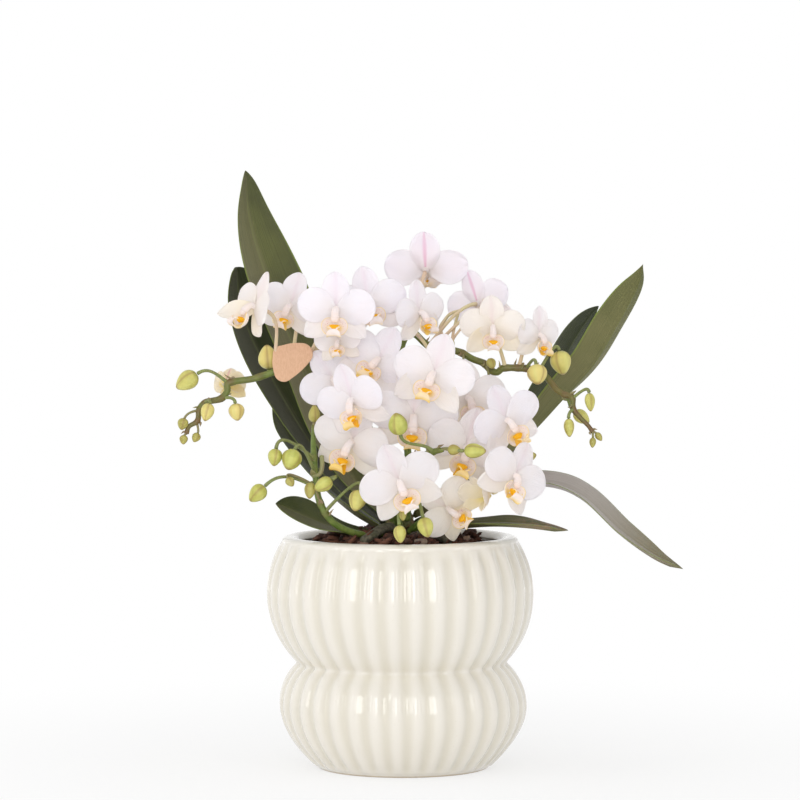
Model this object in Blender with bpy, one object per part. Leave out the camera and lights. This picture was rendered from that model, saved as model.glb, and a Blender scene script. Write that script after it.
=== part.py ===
"""A miniature moth orchid standing in a ribbed, waisted ceramic pot.

The plant is rooted in bark, in a clear grow pot that stands loose in the glazed outer pot. Leaves,
flower stalks, open flowers and buds are separate pieces. The origin is on the outer pot's axis, at
floor level, +Z is up and the flowers face -Y. Tables are in millimetres and degrees; MM turns them
to metres.
"""

import math

import bpy
import numpy as np
from mathutils import Euler, Matrix, Vector

MM = 0.001
GAP = 0.3  # left between pieces that rest on one another

# Outer pot: two bulges above one another, with a waist between them; from the flat top of its rim
# the inside slopes down to the mouth
POT_HEIGHT = 111.6
RIB_COUNT = 36
RIB_DEPTH = 1.5
RIB_FADE_HEIGHT = 6.0
RIB_TURN = math.radians(1.8)
UPPER_BULGE_RADIUS = 64.2
UPPER_BULGE_HEIGHT = 84.0
UPPER_BULGE_CURVE = 46.5
LOWER_BULGE_RADIUS = 59.6
LOWER_BULGE_HEIGHT = 30.5
LOWER_BULGE_CURVE = 25.5
POT_BASE_RADIUS = 41.4
POT_BASE_POWER = 1.9
POT_WALL = 4.6
POT_FLOOR = 6.0
POT_MOUTH_RADIUS = 48.5
POT_MOUTH_HEIGHT = 109.4
POT_RIM_RADII = (52.6, 54.0)

# Clear grow pot
GROW_POT_WALL = 0.9
GROW_POT_BASE_RADIUS = 33.0
GROW_POT_TOP_RADIUS = 43.5
GROW_POT_RIM_RADIUS = 45.0
GROW_POT_TOP = 109.0
GROW_POT_SIDES = 32
DRAIN_HOLE_RADIUS = 6.0

# Bark and crown
BARK_TOP = 108.0
BARK_RELIEF = 1.2
SOCKET_RADIUS = 10.5
SOCKET_FLOOR = 60.0
CROWN_RADIUS = 6.5
CROWN_TOP = 127.0

# Leaves: route of the midrib, half width, where the upper side faces at base and tip, fold, and
# how pointed the tip is
LEAF_THICKNESS = 2.0
LEAF_STEPS = 11
LEAF_BASE_SHARE = 0.26
LEAVES = {
    "leaf_1": ([(-6.6, 1, 121), (-22, 8, 137), (-36, 15, 160), (-46, 20, 188), (-55, 24, 215),
                (-66, 26, 243), (-73, 26, 266), (-75, 24, 287)],
               22.5, (0.8, 0.0, 0.6), (0.78, -0.62, 0.1), 20, 0.8),
    "leaf_2": ([(-7.2, 3, 117), (-24, 16, 131), (-43, 27, 153), (-60, 34, 180), (-73, 38, 205),
                (-79, 39, 224), (-80, 36, 240)],
               18.5, (0.8, 0.0, 0.6), (0.82, -0.56, 0.1), 20, 0.55),
    "leaf_3": ([(-5.3, 5.2, 113), (-24, 20, 123), (-42, 34, 139), (-56, 43, 158), (-62, 46, 178)],
               11.5, (0.6, -0.2, 0.8), (0.7, -0.6, 0.3), 18, 0.8),
    "leaf_4": ([(-6.9, -2.9, 110.8), (-22, -10, 113), (-36, -18, 118), (-48, -24, 123.5),
                (-59, -28, 129)],
               12.5, (0.2, -0.1, 1.0), (0.1, -0.65, 0.75), 16, 0.8),
    "leaf_5": ([(6.6, 1, 121), (28, 12, 131), (58, 18, 156), (78, 18, 177), (93, 17, 194),
                (104, 14, 213), (113, 11, 230), (117, 8, 242)],
               13.5, (-0.7, 0.1, 0.7), (-0.55, 0.8, 0.2), 20, 1.2),
    "leaf_6": ([(6.6, 3.6, 117), (27, 26, 123), (52, 44, 144), (73, 47, 178), (86, 42, 204),
                (97, 35, 221)],
               13.0, (-0.7, 0.0, 0.7), (-0.5, -0.6, 0.6), 18, 0.8),
    "leaf_7": ([(7.3, 0, 112.5), (28, -5, 127), (48, -10, 135.5), (70, -14, 137.5),
                (87, -18, 131.5), (105, -20, 115), (121, -20, 103.5), (135, -18, 97)],
               12.5, (-0.3, -0.1, 0.95), (0.35, -0.25, 0.88), 16, 0.9),
    "leaf_8": ([(7.3, -3, 110.5), (24, -15, 116.5), (42, -22, 119), (60, -24, 118.5),
                (80, -24, 116)],
               9.0, (-0.2, -0.1, 1.0), (0.0, -0.15, 1.0), 14, 0.8),
}

# Sections of a blade: how far across from the midrib, and how far up, in shares
LENS = [(-1, 0), (0, 0.5), (1, 0), (0, -0.5)]
ROUNDED = [(-1, 0), (-0.5, 0.4), (0, 0.5), (0.5, 0.4), (1, 0), (0.5, -0.4), (0, -0.5),
           (-0.5, -0.4)]

# Roots that come out of the crown and over the bark: route and radius
AERIAL_ROOTS = [
    ([(-1.2, -6.4, 109.4), (-4, -17, 116.5), (-9, -25, 116.5), (-15, -32, 113), (-18, -35, 111.6)],
     2.4),
    ([(2.2, -6.1, 109.4), (9, -17, 112.9), (19, -26, 112.8), (24, -30, 111.6)], 2.3),
]

# Flower stalks: route, radius at the foot and at the tip; a stalk thins mostly past THIN_SHARE
STEM_BEVEL_STEPS = 1  # six-sided
THIN_SHARE = 0.85
THIN_RADIUS = 0.88  # of the radius at the foot
SPIKES = {
    "flower_spike_1": ([(-3.4, -7.9, 119.5), (-8, -13, 140), (-15, -15, 165), (-26, -16, 186),
                        (-38, -18, 196), (-50, -20, 194), (-62, -21, 190.4), (-70, -22, 187.9),
                        (-81, -23, 186.1), (-82, -24, 182), (-85, -25, 178.6), (-92, -27, 177),
                        (-95, -28, 173.8), (-95.8, -29, 168.4), (-99.7, -30, 165.8),
                        (-101, -30.5, 162.5)], 2.1, 1.1),
    "flower_spike_2": ([(-4.1, -5.6, 113.5), (-18, -24, 114), (-31, -33, 120), (-38, -37, 131),
                        (-40, -34, 144), (-41, -28, 157), (-41, -26, 166)], 2.1, 1.1),
    "flower_spike_3": ([(3.4, -7.9, 119.5), (4, -9, 148), (1, -6, 176), (0, -4, 196),
                        (2, -4, 206), (6.5, -4, 209), (14.4, -4, 202.6), (27.3, -5, 200.4),
                        (34.8, -6, 196.7), (40, -7, 194.7), (43.6, -8, 191.3), (46.5, -9, 190.5),
                        (50, -10, 192.6), (61, -11, 192.3), (66, -12, 191), (70.1, -14, 188),
                        (74.4, -17, 182.7), (78, -19, 180.3), (81.8, -21, 179), (82.3, -23, 173.6),
                        (85.6, -24.5, 169.5), (89.2, -26, 165.9), (91.2, -27, 163)], 2.0, 1.0),
    "flower_spike_4": ([(0, -8.4, 115.5), (-2, -22, 126), (2, -34, 140), (9, -43, 151),
                        (16, -50, 155), (20, -53, 156)], 2.0, 1.0),
    "flower_spike_5": ([(4.8, -6.5, 114), (16, -17, 124), (28, -24, 136), (40, -28, 146),
                        (50, -31, 151), (56, -34, 152)], 2.0, 1.0),
}

# One flower, 38 mm across: middle, length, half spread and next cleft of each lobe, clockwise
# from the sepal that stands up
FLOWER_RADIUS = 19.0
LOBES = [(0, 18.5, 28, 33), (70, 19.0, 32, 103), (132, 18.5, 28, 180), (228, 18.5, 28, 257),
         (290, 19.0, 32, 327)]
CLEFT_RADIUS = 7.5
PERIANTH_THICKNESS = 0.6
PERIANTH_DISH = 2.0
FLOWER_BACK = 2.6

# Flowers: stalk and share of its length where the flower's own stem leaves it, centre,
# turn to the right, nod downwards, roll to the right, span, and whether it is fully open
FLOWERS = {
    "flower_01": (1, 0.76, (-68, -36, 222), -62, -12, 10, 37, True),
    "flower_02": (1, 0.70, (-52, -16, 222), -22, 2, 12, 35, True),
    "flower_03": (1, 0.56, (-30, -44, 221), -4, 5, 2, 39, True),
    "flower_04": (1, 0.56, (-15, -24, 224), 12, -5, -8, 38, True),
    "flower_05": (3, 0.45, (9, -22, 219), 42, 0, -8, 33, True),
    "flower_06": (3, 0.46, (12.4, 13.2, 238.8), 172, -20, 0, 42, True),
    "flower_07": (3, 0.51, (37.8, 12.2, 222.6), 150, 0, 18, 36, True),
    "flower_08": (3, 0.71, (44, -20, 212), 2, 8, 0, 33, True),
    "flower_09": (3, 0.74, (66, -10, 208), 45, 5, 5, 30, True),
    "flower_10": (1, 0.36, (-22, -52, 179), -28, 15, -15, 38, True),
    "flower_11": (3, 0.46, (15.5, -53, 191), -10, 0, 16, 41, True),
    "flower_12": (1, 0.48, (-10.5, -33, 196.5), -8, -12, 30, 37, True),
    "flower_13": (1, 0.21, (-22.5, -40, 158.5), -25, 10, 18, 38, True),
    "flower_14": (4, 0.77, (6, -42, 171), 3, 15, 5, 35, True),
    "flower_15": (4, 0.53, (0, -62, 141), 4, 10, -25, 41, True),
    "flower_16": (5, 0.83, (50, -42, 169), 32, 8, -26, 38, True),
    "flower_17": (5, 0.83, (53, -56, 143.5), 32, 5, 30, 38, True),
    "flower_18": (5, 0.52, (30.5, -38, 156), 10, 12, 18, 37, True),
    "flower_19": (5, 0.26, (23, -42, 128), 15, 18, -60, 32, True),
    "flower_20": (5, 0.52, (42, -43, 135), -50, 5, 0, 30, False),
    "flower_21": (3, 0.34, (32, -22, 178), 25, 0, 0, 32, True),
    "flower_22": (1, 0.78, (-83, -17, 185), 170, 0, 0, 29, False),
    "flower_23": (1, 0.45, (-31, -25.4, 187.5), -6, 0, -40, 35.5, True),
    "flower_24": (1, 0.56, (-29, -34, 206), -14, 0, -5, 24, True),
}

# Larger buds: stalk and share of its length, middle, lean to the right, nod to the front,
# length and width
BUDS = {
    "bud_01": (1, 0.79, (-101, -26, 187), -125, 0, 12.0, 9.2),
    "bud_02": (1, 0.89, (-91, -34, 172.6), 195, 20, 9.0, 6.5),
    "bud_03": (1, 0.84, (-77.4, -28, 172.4), 172, 10, 8.4, 7.6),
    "bud_04": (1, 0.70, (-63, -12.5, 198), -5, 0, 11.8, 9.6),
    "bud_05": (2, 0.82, (-58.7, -46, 152), 187, 20, 8.5, 6.8),
    "bud_06": (2, 0.74, (-51, -48, 151), 200, 25, 10.5, 9.6),
    "bud_07": (2, 0.66, (-67, -46, 135), 225, 10, 10.0, 8.0),
    "bud_08": (2, 0.66, (-36, -50, 139.5), 240, 10, 9.5, 7.0),
    "bud_09": (2, 0.52, (-20, -50, 132), 195, 20, 10.5, 8.5),
    "bud_10": (4, 0.92, (-1, -64, 169), -12, 30, 11.5, 9.0),
    "bud_11": (4, 0.97, (35, -60, 156), 90, 10, 10.5, 7.0),
    "bud_12": (4, 0.39, (0, -59, 117), 175, 15, 8.5, 6.0),
    "bud_13": (4, 0.66, (12, -58, 120), 165, 25, 10.0, 7.5),
    "bud_14": (3, 0.76, (65, -25, 190), 175, 25, 10.0, 9.6),
    "bud_15": (3, 0.79, (77, -9, 195), 170, 5, 11.8, 10.2),
    "bud_16": (3, 0.90, (90, -26, 177), 175, 10, 9.0, 5.0),
    "bud_17": (3, 0.93, (80, -29, 165), 178, 15, 9.0, 5.0),
    "bud_18": (3, 0.88, (86.5, -17.5, 169.5), 128, 0, 9.0, 6.5),
}

# Smaller buds, most of them at the tips, that are part of their stalks: the same values
SMALL_BUDS = [
    (1, 0.92, (-102.7, -31, 166.9), 195, 10, 5.8, 5.2),
    (1, 1.00, (-102.3, -31, 159.5), 185, 15, 4.6, 4.0),
    (1, 0.95, (-96.6, -29, 160.4), 205, 10, 4.8, 4.2),
    (2, 0.66, (-51.5, -46, 140.5), 145, 20, 5.0, 4.4),
    (2, 0.58, (-42.2, -47, 136.5), 185, 15, 8.0, 5.4),
    (2, 1.00, (-40.6, -25, 171.5), 0, 0, 8.5, 5.6),
    (3, 0.55, (24.1, -9, 204.0), 150, 20, 5.6, 4.4),
    (3, 0.59, (33.2, -11, 193.0), 120, 20, 4.5, 4.0),
    (3, 0.67, (43.5, -14, 194.8), 155, 30, 5.6, 4.6),
    (3, 0.65, (42.3, -14, 187.6), 180, 50, 3.8, 3.4),
    (3, 1.00, (94.2, -27.5, 160.7), 145, 10, 4.7, 3.2),
    (3, 1.00, (91.2, -29, 158.0), 185, 15, 5.0, 3.2),
    (4, 0.97, (25.4, -57, 156.3), 90, 15, 6.5, 5.0),
    (4, 0.60, (1.3, -57, 125.5), 180, 15, 5.0, 3.6),
    (5, 1.00, (61.2, -34, 151.8), 75, 10, 6.8, 5.0),
]

# Label: a card with rounded corners (across, height, radius), and a tie round the first stalk
LABEL_CORNERS = [(-56.1, 199.6, 4.2), (-46.5, 199.8, 5.2), (-55.0, 191.3, 4.7)]
LABEL_THICKNESS = 0.7
LABEL_FRONT = -24.6
LABEL_CORNER_STEPS = 6
TIE_RADIUS = 0.45
TIE_LOOP = 2.9
TIE_ACROSS = -56.0


def clear_scene():
    for old in list(bpy.data.objects):
        bpy.data.objects.remove(old)


def finish(name, colour, roughness, metallic=0.0, clear=0.0):
    """A Principled material; clear is how much light passes through it."""
    material = bpy.data.materials.new(name)
    material.use_nodes = True
    shader = material.node_tree.nodes["Principled BSDF"]
    shader.inputs["Base Color"].default_value = (*colour, 1.0)
    shader.inputs["Roughness"].default_value = roughness
    shader.inputs["Metallic"].default_value = metallic
    shader.inputs["Transmission Weight"].default_value = clear
    return material


def placed(name, mesh, material, matrix=None):
    piece = bpy.data.objects.new(name, mesh)
    bpy.context.scene.collection.objects.link(piece)
    piece.data.materials.append(material)
    piece.matrix_world = matrix or Matrix()
    return piece


def smooth(points, count):
    """Points evenly spaced in their own number along a Catmull-Rom curve through the given ones."""
    fixed = np.array(points, float)
    fixed = np.vstack([2 * fixed[0] - fixed[1], fixed, 2 * fixed[-1] - fixed[-2]])
    place = np.linspace(0, len(points) - 1, count)
    span = np.minimum(place.astype(int), len(points) - 2)
    t = (place - span)[:, None]
    a, b, c, d = (fixed[span + k] for k in range(4))
    return 0.5 * (2 * b + (c - a) * t + (2 * a - 5 * b + 4 * c - d) * t**2
                  + (3 * b - 3 * c + d - a) * t**3)


def unit(vectors):
    vectors = np.asarray(vectors, float)
    return vectors / np.linalg.norm(vectors, axis=-1, keepdims=True)


def skin(rings, first=None, last=None):
    """A closed mesh through equal rings of points in mm; an end is a flat cap or comes to a point."""
    rings = np.array(rings, float)
    rows, sides = rings.shape[:2]
    points = list(rings.reshape(-1, 3) * MM)
    faces = []
    for row in range(rows - 1):
        for side in range(sides):
            near, far = row * sides, (row + 1) * sides
            after = (side + 1) % sides
            faces.append((near + side, near + after, far + after, far + side))
    for row, tip, order in ((0, first, -1), (rows - 1, last, 1)):
        rim = [row * sides + side for side in range(sides)][::order]
        if tip is None:
            faces.append(rim)
        else:
            points.append(np.array(tip, float) * MM)
            faces += [(rim[k], rim[(k + 1) % sides], len(points) - 1) for k in range(sides)]
    mesh = bpy.data.meshes.new("skin")
    mesh.from_pydata([tuple(p) for p in points], [], faces)
    mesh.shade_smooth()
    mesh.set_sharp_from_angle(angle=math.radians(40))
    return mesh


def turned(radii, heights, sides, wave=None):
    """Rings round Z; wave adds a radius to each point of each ring."""
    angle = np.arange(sides) * 2 * math.pi / sides
    radius = np.array(radii, float)[:, None] + (0 if wave is None else wave)
    height = np.array(heights, float)[:, None] + 0 * angle
    return np.stack([radius * np.cos(angle), radius * np.sin(angle), height], axis=-1)


def joined(pieces, operation="UNION"):
    """One mesh: the first of the given meshes with all the others joined to it, or cut from it."""
    plain = finish("helper", (0.5, 0.5, 0.5), 0.5)
    first, *others = [placed("helper", mesh, plain) for mesh in pieces]
    tools = bpy.data.collections.new("tools")
    for other in others:
        tools.objects.link(other)
    step = first.modifiers.new("join", "BOOLEAN")
    step.operation = operation
    step.solver = "EXACT"
    step.operand_type = "COLLECTION"
    step.collection = tools
    graph = bpy.context.evaluated_depsgraph_get()
    mesh = bpy.data.meshes.new_from_object(first.evaluated_get(graph))
    mesh.materials.clear()
    for helper in (first, *others):
        bpy.data.objects.remove(helper)
    bpy.data.collections.remove(tools)
    bpy.data.materials.remove(plain)
    return mesh


def stem(points, radii, bevel_steps=STEM_BEVEL_STEPS):
    """A round stem along a route, as a bevelled curve with closed ends."""
    curve = bpy.data.curves.new("stem", "CURVE")
    curve.dimensions = "3D"
    curve.bevel_depth = MM
    curve.bevel_resolution = bevel_steps
    curve.use_fill_caps = True
    line = curve.splines.new("POLY")
    line.points.add(len(points) - 1)
    for place, point, radius in zip(line.points, points, radii):
        place.co = (*(np.array(point) * MM), 1.0)
        place.radius = radius
    holder = bpy.data.objects.new("stem", curve)
    bpy.context.scene.collection.objects.link(holder)
    graph = bpy.context.evaluated_depsgraph_get()
    mesh = bpy.data.meshes.new_from_object(holder.evaluated_get(graph))
    bpy.data.objects.remove(holder)
    return mesh


def blade(route, half_widths, thickness, faces, fold, section):
    """A leaf or lip: a folded section carried along its midrib, ending in a point.

    Each section runs from the left edge over the top to the right edge and back underneath. The
    edges stand above the midrib by the fold.
    """
    route = np.array(route, float)
    along = unit(np.gradient(route, axis=0))
    side = unit(np.cross(along, faces))
    up = np.cross(side, along)
    across, swell = np.array(section, float).T
    lift = np.abs(across) * math.tan(math.radians(fold))
    wide = np.array(half_widths, float)[:, None, None]
    thick = np.minimum(thickness, 0.5 * wide)
    rings = (route[:, None] + side[:, None] * across[:, None] * wide
             + up[:, None] * (lift[:, None] * wide + swell[:, None] * thick))
    return skin(rings[:-1], last=route[-1])


def leaf(route, half_width, base_face, tip_face, fold, point):
    """A strap leaf: narrow where it clasps the crown, widest past its middle, round-pointed."""
    middle = smooth(route, LEAF_STEPS)
    share = np.linspace(0, 1, LEAF_STEPS)
    rise = LEAF_BASE_SHARE + (1 - LEAF_BASE_SHARE) * np.sin(np.minimum(share / 0.6, 1) * math.pi / 2)
    close = (1 - np.clip((share - 0.6) / 0.4, 0, 1) ** 2) ** point
    facing = (1 - share[:, None]) * np.array(base_face) + share[:, None] * np.array(tip_face)
    return blade(middle, half_width * rise * close, LEAF_THICKNESS, facing, fold, ROUNDED)


def perianth(opening):
    """Sepals and petals as one five-lobed shell; opening bends the lobes forward.

    The rim visits each lobe's two widest points, two shoulders and tip, and the cleft after it.
    """
    angles, radii = [], []
    for middle, length, spread, cleft in LOBES:
        angles += [middle + share * spread for share in (-1, -0.6, 0, 0.6, 1)]
        radii += [length * share for share in (0.66, 0.91, 1.0, 0.91, 0.66)]
        angles.append(cleft)
        radii.append(CLEFT_RADIUS)
    angle = np.radians(angles)
    rings = []
    for share, lift in ((0.5, -PERIANTH_THICKNESS), (1.0, 0.0), (0.5, PERIANTH_THICKNESS)):
        radius = share * np.array(radii)
        depth = -radius * math.sin(opening) - PERIANTH_DISH * (radius / FLOWER_RADIUS) ** 2 + lift
        reach = radius * math.cos(opening)
        rings.append(np.stack([reach * np.sin(angle), depth, reach * np.cos(angle)], axis=-1))
    return skin(rings, first=(0, -PERIANTH_THICKNESS, 0), last=(0, FLOWER_BACK, 0))


def flower_mesh(fully_open):
    """Sepals and petals, the lip and the column, grown together; 38 mm across, facing -Y."""
    column = [(0, 0.6, 0.6), (0, -4.0, 1.2), (0, -7.0, -0.6)]
    lip = [(0, -0.4, -1.2), (0, -4.5, -4.8), (0, -8.5, -5.6), (0, -11.5, -3.6)]
    return joined([
        perianth(math.radians(3 if fully_open else 56)),
        stem(column, [1.6, 1.7, 1.2], 0),
        blade(lip, [1.6, 4.2, 3.2, 0.0], 1.4, (0, 0, 1), 40, LENS),
    ])


def flower_matrix(centre, turn, nod, roll, span):
    turns = Euler((math.radians(nod), math.radians(roll), math.radians(turn)), "YXZ")
    size = span / (2 * FLOWER_RADIUS)
    return (Matrix.Translation(Vector(centre) * MM) @ turns.to_matrix().to_4x4()
            @ Matrix.Diagonal((size, size, size, 1.0)))


def bud_axis(lean, nod):
    lean, nod = math.radians(lean), math.radians(nod)
    return np.array([math.sin(lean) * math.cos(nod), -math.sin(nod),
                     math.cos(lean) * math.cos(nod)])


def bud(middle, axis, length, width):
    """An egg-shaped bud, fullest below its middle and drawn in to a blunt tip."""
    share = np.array([0.0, 0.14, 0.42, 0.75, 1.0])
    radii = 0.5 * width * np.array([0.34, 0.76, 1.0, 0.72, 0.18])
    points = np.array(middle) + (share[:, None] - 0.5) * length * axis
    return stem(points, radii)


def own_stem(start, leave, end, arrive, radius):
    """The short stem of one flower or bud: a cubic curve that leaves and arrives as it is told."""
    reach = 0.42 * np.linalg.norm(np.array(end) - start)
    t = np.linspace(0, 1, 6)[:, None]
    a, d = np.array(start, float), np.array(end, float)
    b, c = a + reach * unit(leave), d - reach * unit(arrive)
    points = (1 - t) ** 3 * a + 3 * (1 - t) ** 2 * t * b + 3 * (1 - t) * t**2 * c + t**3 * d
    return stem(points, np.full(6, radius), 0)


def stalk_line(number):
    route = SPIKES[f"flower_spike_{number}"][0]
    return smooth(route, 2 * len(route) - 1)


def spike_mesh(number):
    """One flower stalk with the own stems of its flowers and buds and the small buds at its tip."""
    _, foot, tip = SPIKES[f"flower_spike_{number}"]
    line = stalk_line(number)
    run = np.append(0, np.cumsum(np.linalg.norm(np.diff(line, axis=0), axis=1)))
    radii = np.interp(run / run[-1], [0, THIN_SHARE, 1], [foot, THIN_RADIUS * foot, tip])
    pieces = [stem(line, radii)]

    def base(share, target):
        start = line[np.argmin(np.abs(run - share * run[-1]))]
        return start, unit(unit(np.array(target) - start) + np.array([0, 0, 0.4]))

    for spike, share, centre, turn, nod, roll, span, _ in FLOWERS.values():
        if spike == number:
            facing = flower_matrix(centre, turn, nod, roll, span).to_3x3() @ Vector((0, -1, 0))
            size, facing = facing.length, unit(facing)
            end = np.array(centre) - facing * (FLOWER_BACK * size + GAP)
            start, leave = base(share, end)
            pieces.append(own_stem(start, leave, end, facing, 1.05))
    for spike, share, middle, lean, nod, length, width in BUDS.values():
        if spike == number:
            axis = bud_axis(lean, nod)
            end = np.array(middle) - axis * (0.5 * length + GAP)
            start, leave = base(share, end)
            pieces.append(own_stem(start, leave, end, axis, 0.9))
    for spike, share, middle, lean, nod, length, width in SMALL_BUDS:
        if spike == number:
            axis = bud_axis(lean, nod)
            start, leave = base(share, middle)
            pieces.append(own_stem(start, leave, np.array(middle) - axis * 0.3 * length, axis, 0.6))
            pieces.append(bud(middle, axis, length, width))
    return joined(pieces)


def cachepot():
    heights = [0, 9, 30.5, 43, 50.6, 58, 70, 84, 98, 105, 109.4, POT_HEIGHT]
    z = np.array(heights, float)
    lower = np.where(
        z < LOWER_BULGE_HEIGHT,
        LOWER_BULGE_RADIUS - (LOWER_BULGE_RADIUS - POT_BASE_RADIUS)
        * (np.abs(z - LOWER_BULGE_HEIGHT) / LOWER_BULGE_HEIGHT) ** POT_BASE_POWER,
        LOWER_BULGE_RADIUS - LOWER_BULGE_CURVE
        + np.sqrt(np.maximum(LOWER_BULGE_CURVE**2 - (z - LOWER_BULGE_HEIGHT) ** 2, 0)),
    )
    upper = (UPPER_BULGE_RADIUS - UPPER_BULGE_CURVE
             + np.sqrt(np.maximum(UPPER_BULGE_CURVE**2 - (z - UPPER_BULGE_HEIGHT) ** 2, 0)))
    outer = np.maximum(lower, upper)
    outer[-1] = POT_RIM_RADII[1]
    sides = 2 * RIB_COUNT
    fade = np.clip((POT_HEIGHT - z) / RIB_FADE_HEIGHT, 0, 1)[:, None]
    groove = np.where(np.arange(sides) % 2, 0.0, -RIB_DEPTH)
    body = turned(outer, z, sides, fade * groove)
    body = body @ np.array(Matrix.Rotation(-RIB_TURN, 3, "Z"))
    inner_z = np.array([POT_FLOOR, 14, 30.5, 50.6, 66, 84, 101, POT_MOUTH_HEIGHT, POT_HEIGHT])
    inner = np.interp(inner_z, z, outer) - POT_WALL - RIB_DEPTH
    inner[0] = POT_BASE_RADIUS - POT_WALL
    inner[-2:] = POT_MOUTH_RADIUS, POT_RIM_RADII[0]
    above = inner[-1] + 0.5 * (inner[-1] - inner[-2]) / (POT_HEIGHT - POT_MOUTH_HEIGHT)
    hollow = turned(np.append(inner, above), np.append(inner_z, POT_HEIGHT + 0.5), RIB_COUNT)
    return joined([skin(body), skin(hollow)], "DIFFERENCE")


def grow_pot():
    floor = POT_FLOOR + GAP
    heights = np.array([floor, floor + 2, 105, 105.5, GROW_POT_TOP])
    radii = np.array([GROW_POT_BASE_RADIUS - 1, GROW_POT_BASE_RADIUS, GROW_POT_TOP_RADIUS,
                      GROW_POT_RIM_RADIUS, GROW_POT_RIM_RADIUS])
    body = skin(turned(radii, heights, GROW_POT_SIDES))
    hollow_radii = [GROW_POT_BASE_RADIUS - GROW_POT_WALL, GROW_POT_TOP_RADIUS - GROW_POT_WALL,
                    GROW_POT_TOP_RADIUS - GROW_POT_WALL]
    hollow = skin(turned(hollow_radii, [floor + GROW_POT_WALL + 1, 105, 115], GROW_POT_SIDES))
    drain = skin(turned([DRAIN_HOLE_RADIUS] * 2, [floor - 2, floor + 5], 12))
    return joined([body, hollow, drain], "DIFFERENCE")


def bark_bed():
    floor = POT_FLOOR + GROW_POT_WALL + 1 + 2 * GAP
    clear = GROW_POT_WALL + GAP + 0.2
    radii = [GROW_POT_BASE_RADIUS - clear, GROW_POT_TOP_RADIUS - clear, 36, 29, 22, 15,
             SOCKET_RADIUS, SOCKET_RADIUS]
    heights = [floor, BARK_TOP - 1, BARK_TOP, BARK_TOP, BARK_TOP, BARK_TOP, BARK_TOP,
               SOCKET_FLOOR]
    rings = turned(radii, heights, 32)
    relief = np.random.default_rng(4).uniform(-1, 1, rings.shape[:2]) * BARK_RELIEF
    rings[2:6, :, 2] += relief[2:6]
    return skin(rings)


def crown():
    """The short upright stem, the two roots that leave it and the old roots below it."""
    low = SOCKET_FLOOR + GAP
    root = SOCKET_RADIUS - GAP
    heights = [low, 85, BARK_TOP - 3, BARK_TOP + 1, 110, 118, 124]
    radii = [root - 2, root, root - 0.2, CROWN_RADIUS + 0.6, CROWN_RADIUS, CROWN_RADIUS,
             CROWN_RADIUS - 1.5]
    pieces = [skin(turned(radii, heights, 16), last=(0, 0, CROWN_TOP))]
    for route, radius in AERIAL_ROOTS:
        line = smooth(route, 3 * len(route))
        pieces.append(stem(line, np.full(len(line), radius)))
    return joined(pieces)


def plant_label():
    """A card with three rounded corners, and the paper tie behind it that loops round the stalk."""
    ring = []
    for k, (across, height, radius) in enumerate(LABEL_CORNERS):
        before, after = LABEL_CORNERS[k - 1], LABEL_CORNERS[(k + 1) % 3]
        arrive = math.atan2(height - before[1], across - before[0]) + math.pi / 2
        leave = math.atan2(after[1] - height, after[0] - across) + math.pi / 2
        turn = (leave - arrive) % (-2 * math.pi)
        for angle in np.linspace(arrive, arrive + turn, LABEL_CORNER_STEPS):
            ring.append((across + radius * math.cos(angle), LABEL_FRONT,
                         height + radius * math.sin(angle)))
    ring = np.array(ring)
    back = LABEL_FRONT + LABEL_THICKNESS
    card = skin([ring, ring + (0, LABEL_THICKNESS, 0)])
    stalk = stalk_line(1)[::-1]
    across = TIE_ACROSS
    depth = np.interp(across, stalk[:, 0], stalk[:, 1])
    height = np.interp(across, stalk[:, 0], stalk[:, 2])
    angle = np.radians(np.linspace(35, 325, 11))
    loop = np.stack([0 * angle + across, depth - TIE_LOOP * np.cos(angle),
                     height + TIE_LOOP * np.sin(angle)], axis=-1)
    ends = [(across, back - 0.3, height + sign * TIE_LOOP * 0.6) for sign in (1, -1)]
    route = np.vstack([ends[0], loop, ends[1]])
    return joined([card, stem(route, np.full(len(route), TIE_RADIUS), 0)])


def build():
    clear_scene()
    glaze = finish("cream_glaze", (0.86, 0.83, 0.74), 0.12)
    clear_plastic = finish("clear_plastic", (0.85, 0.88, 0.86), 0.15, clear=0.9)
    bark = finish("bark", (0.09, 0.05, 0.025), 0.85)
    crown_green = finish("crown_green", (0.16, 0.2, 0.06), 0.5)
    leaf_green = finish("leaf_green", (0.09, 0.13, 0.04), 0.35)
    stalk_green = finish("stalk_green", (0.2, 0.24, 0.08), 0.45)
    petal_white = finish("petal_white", (0.9, 0.86, 0.88), 0.5)
    petal_cream = finish("petal_cream", (0.88, 0.8, 0.5), 0.5)
    bud_green = finish("bud_green", (0.62, 0.66, 0.25), 0.45)
    kraft = finish("kraft_card", (0.78, 0.55, 0.36), 0.85)

    placed("cachepot", cachepot(), glaze)
    placed("grow_pot", grow_pot(), clear_plastic)
    placed("bark_bed", bark_bed(), bark)
    placed("crown", crown(), crown_green)
    for name, values in LEAVES.items():
        placed(name, leaf(*values), leaf_green)
    for number in range(1, len(SPIKES) + 1):
        placed(f"flower_spike_{number}", spike_mesh(number), stalk_green)
    forms = {True: (flower_mesh(True), petal_white), False: (flower_mesh(False), petal_cream)}
    for name, (_, _, centre, turn, nod, roll, span, fully_open) in FLOWERS.items():
        mesh, colour = forms[fully_open]
        placed(name, mesh, colour, flower_matrix(centre, turn, nod, roll, span))
    for name, (_, _, middle, lean, nod, length, width) in BUDS.items():
        placed(name, bud(middle, bud_axis(lean, nod), length, width), bud_green)
    placed("plant_label", plant_label(), kraft)


build()
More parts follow.
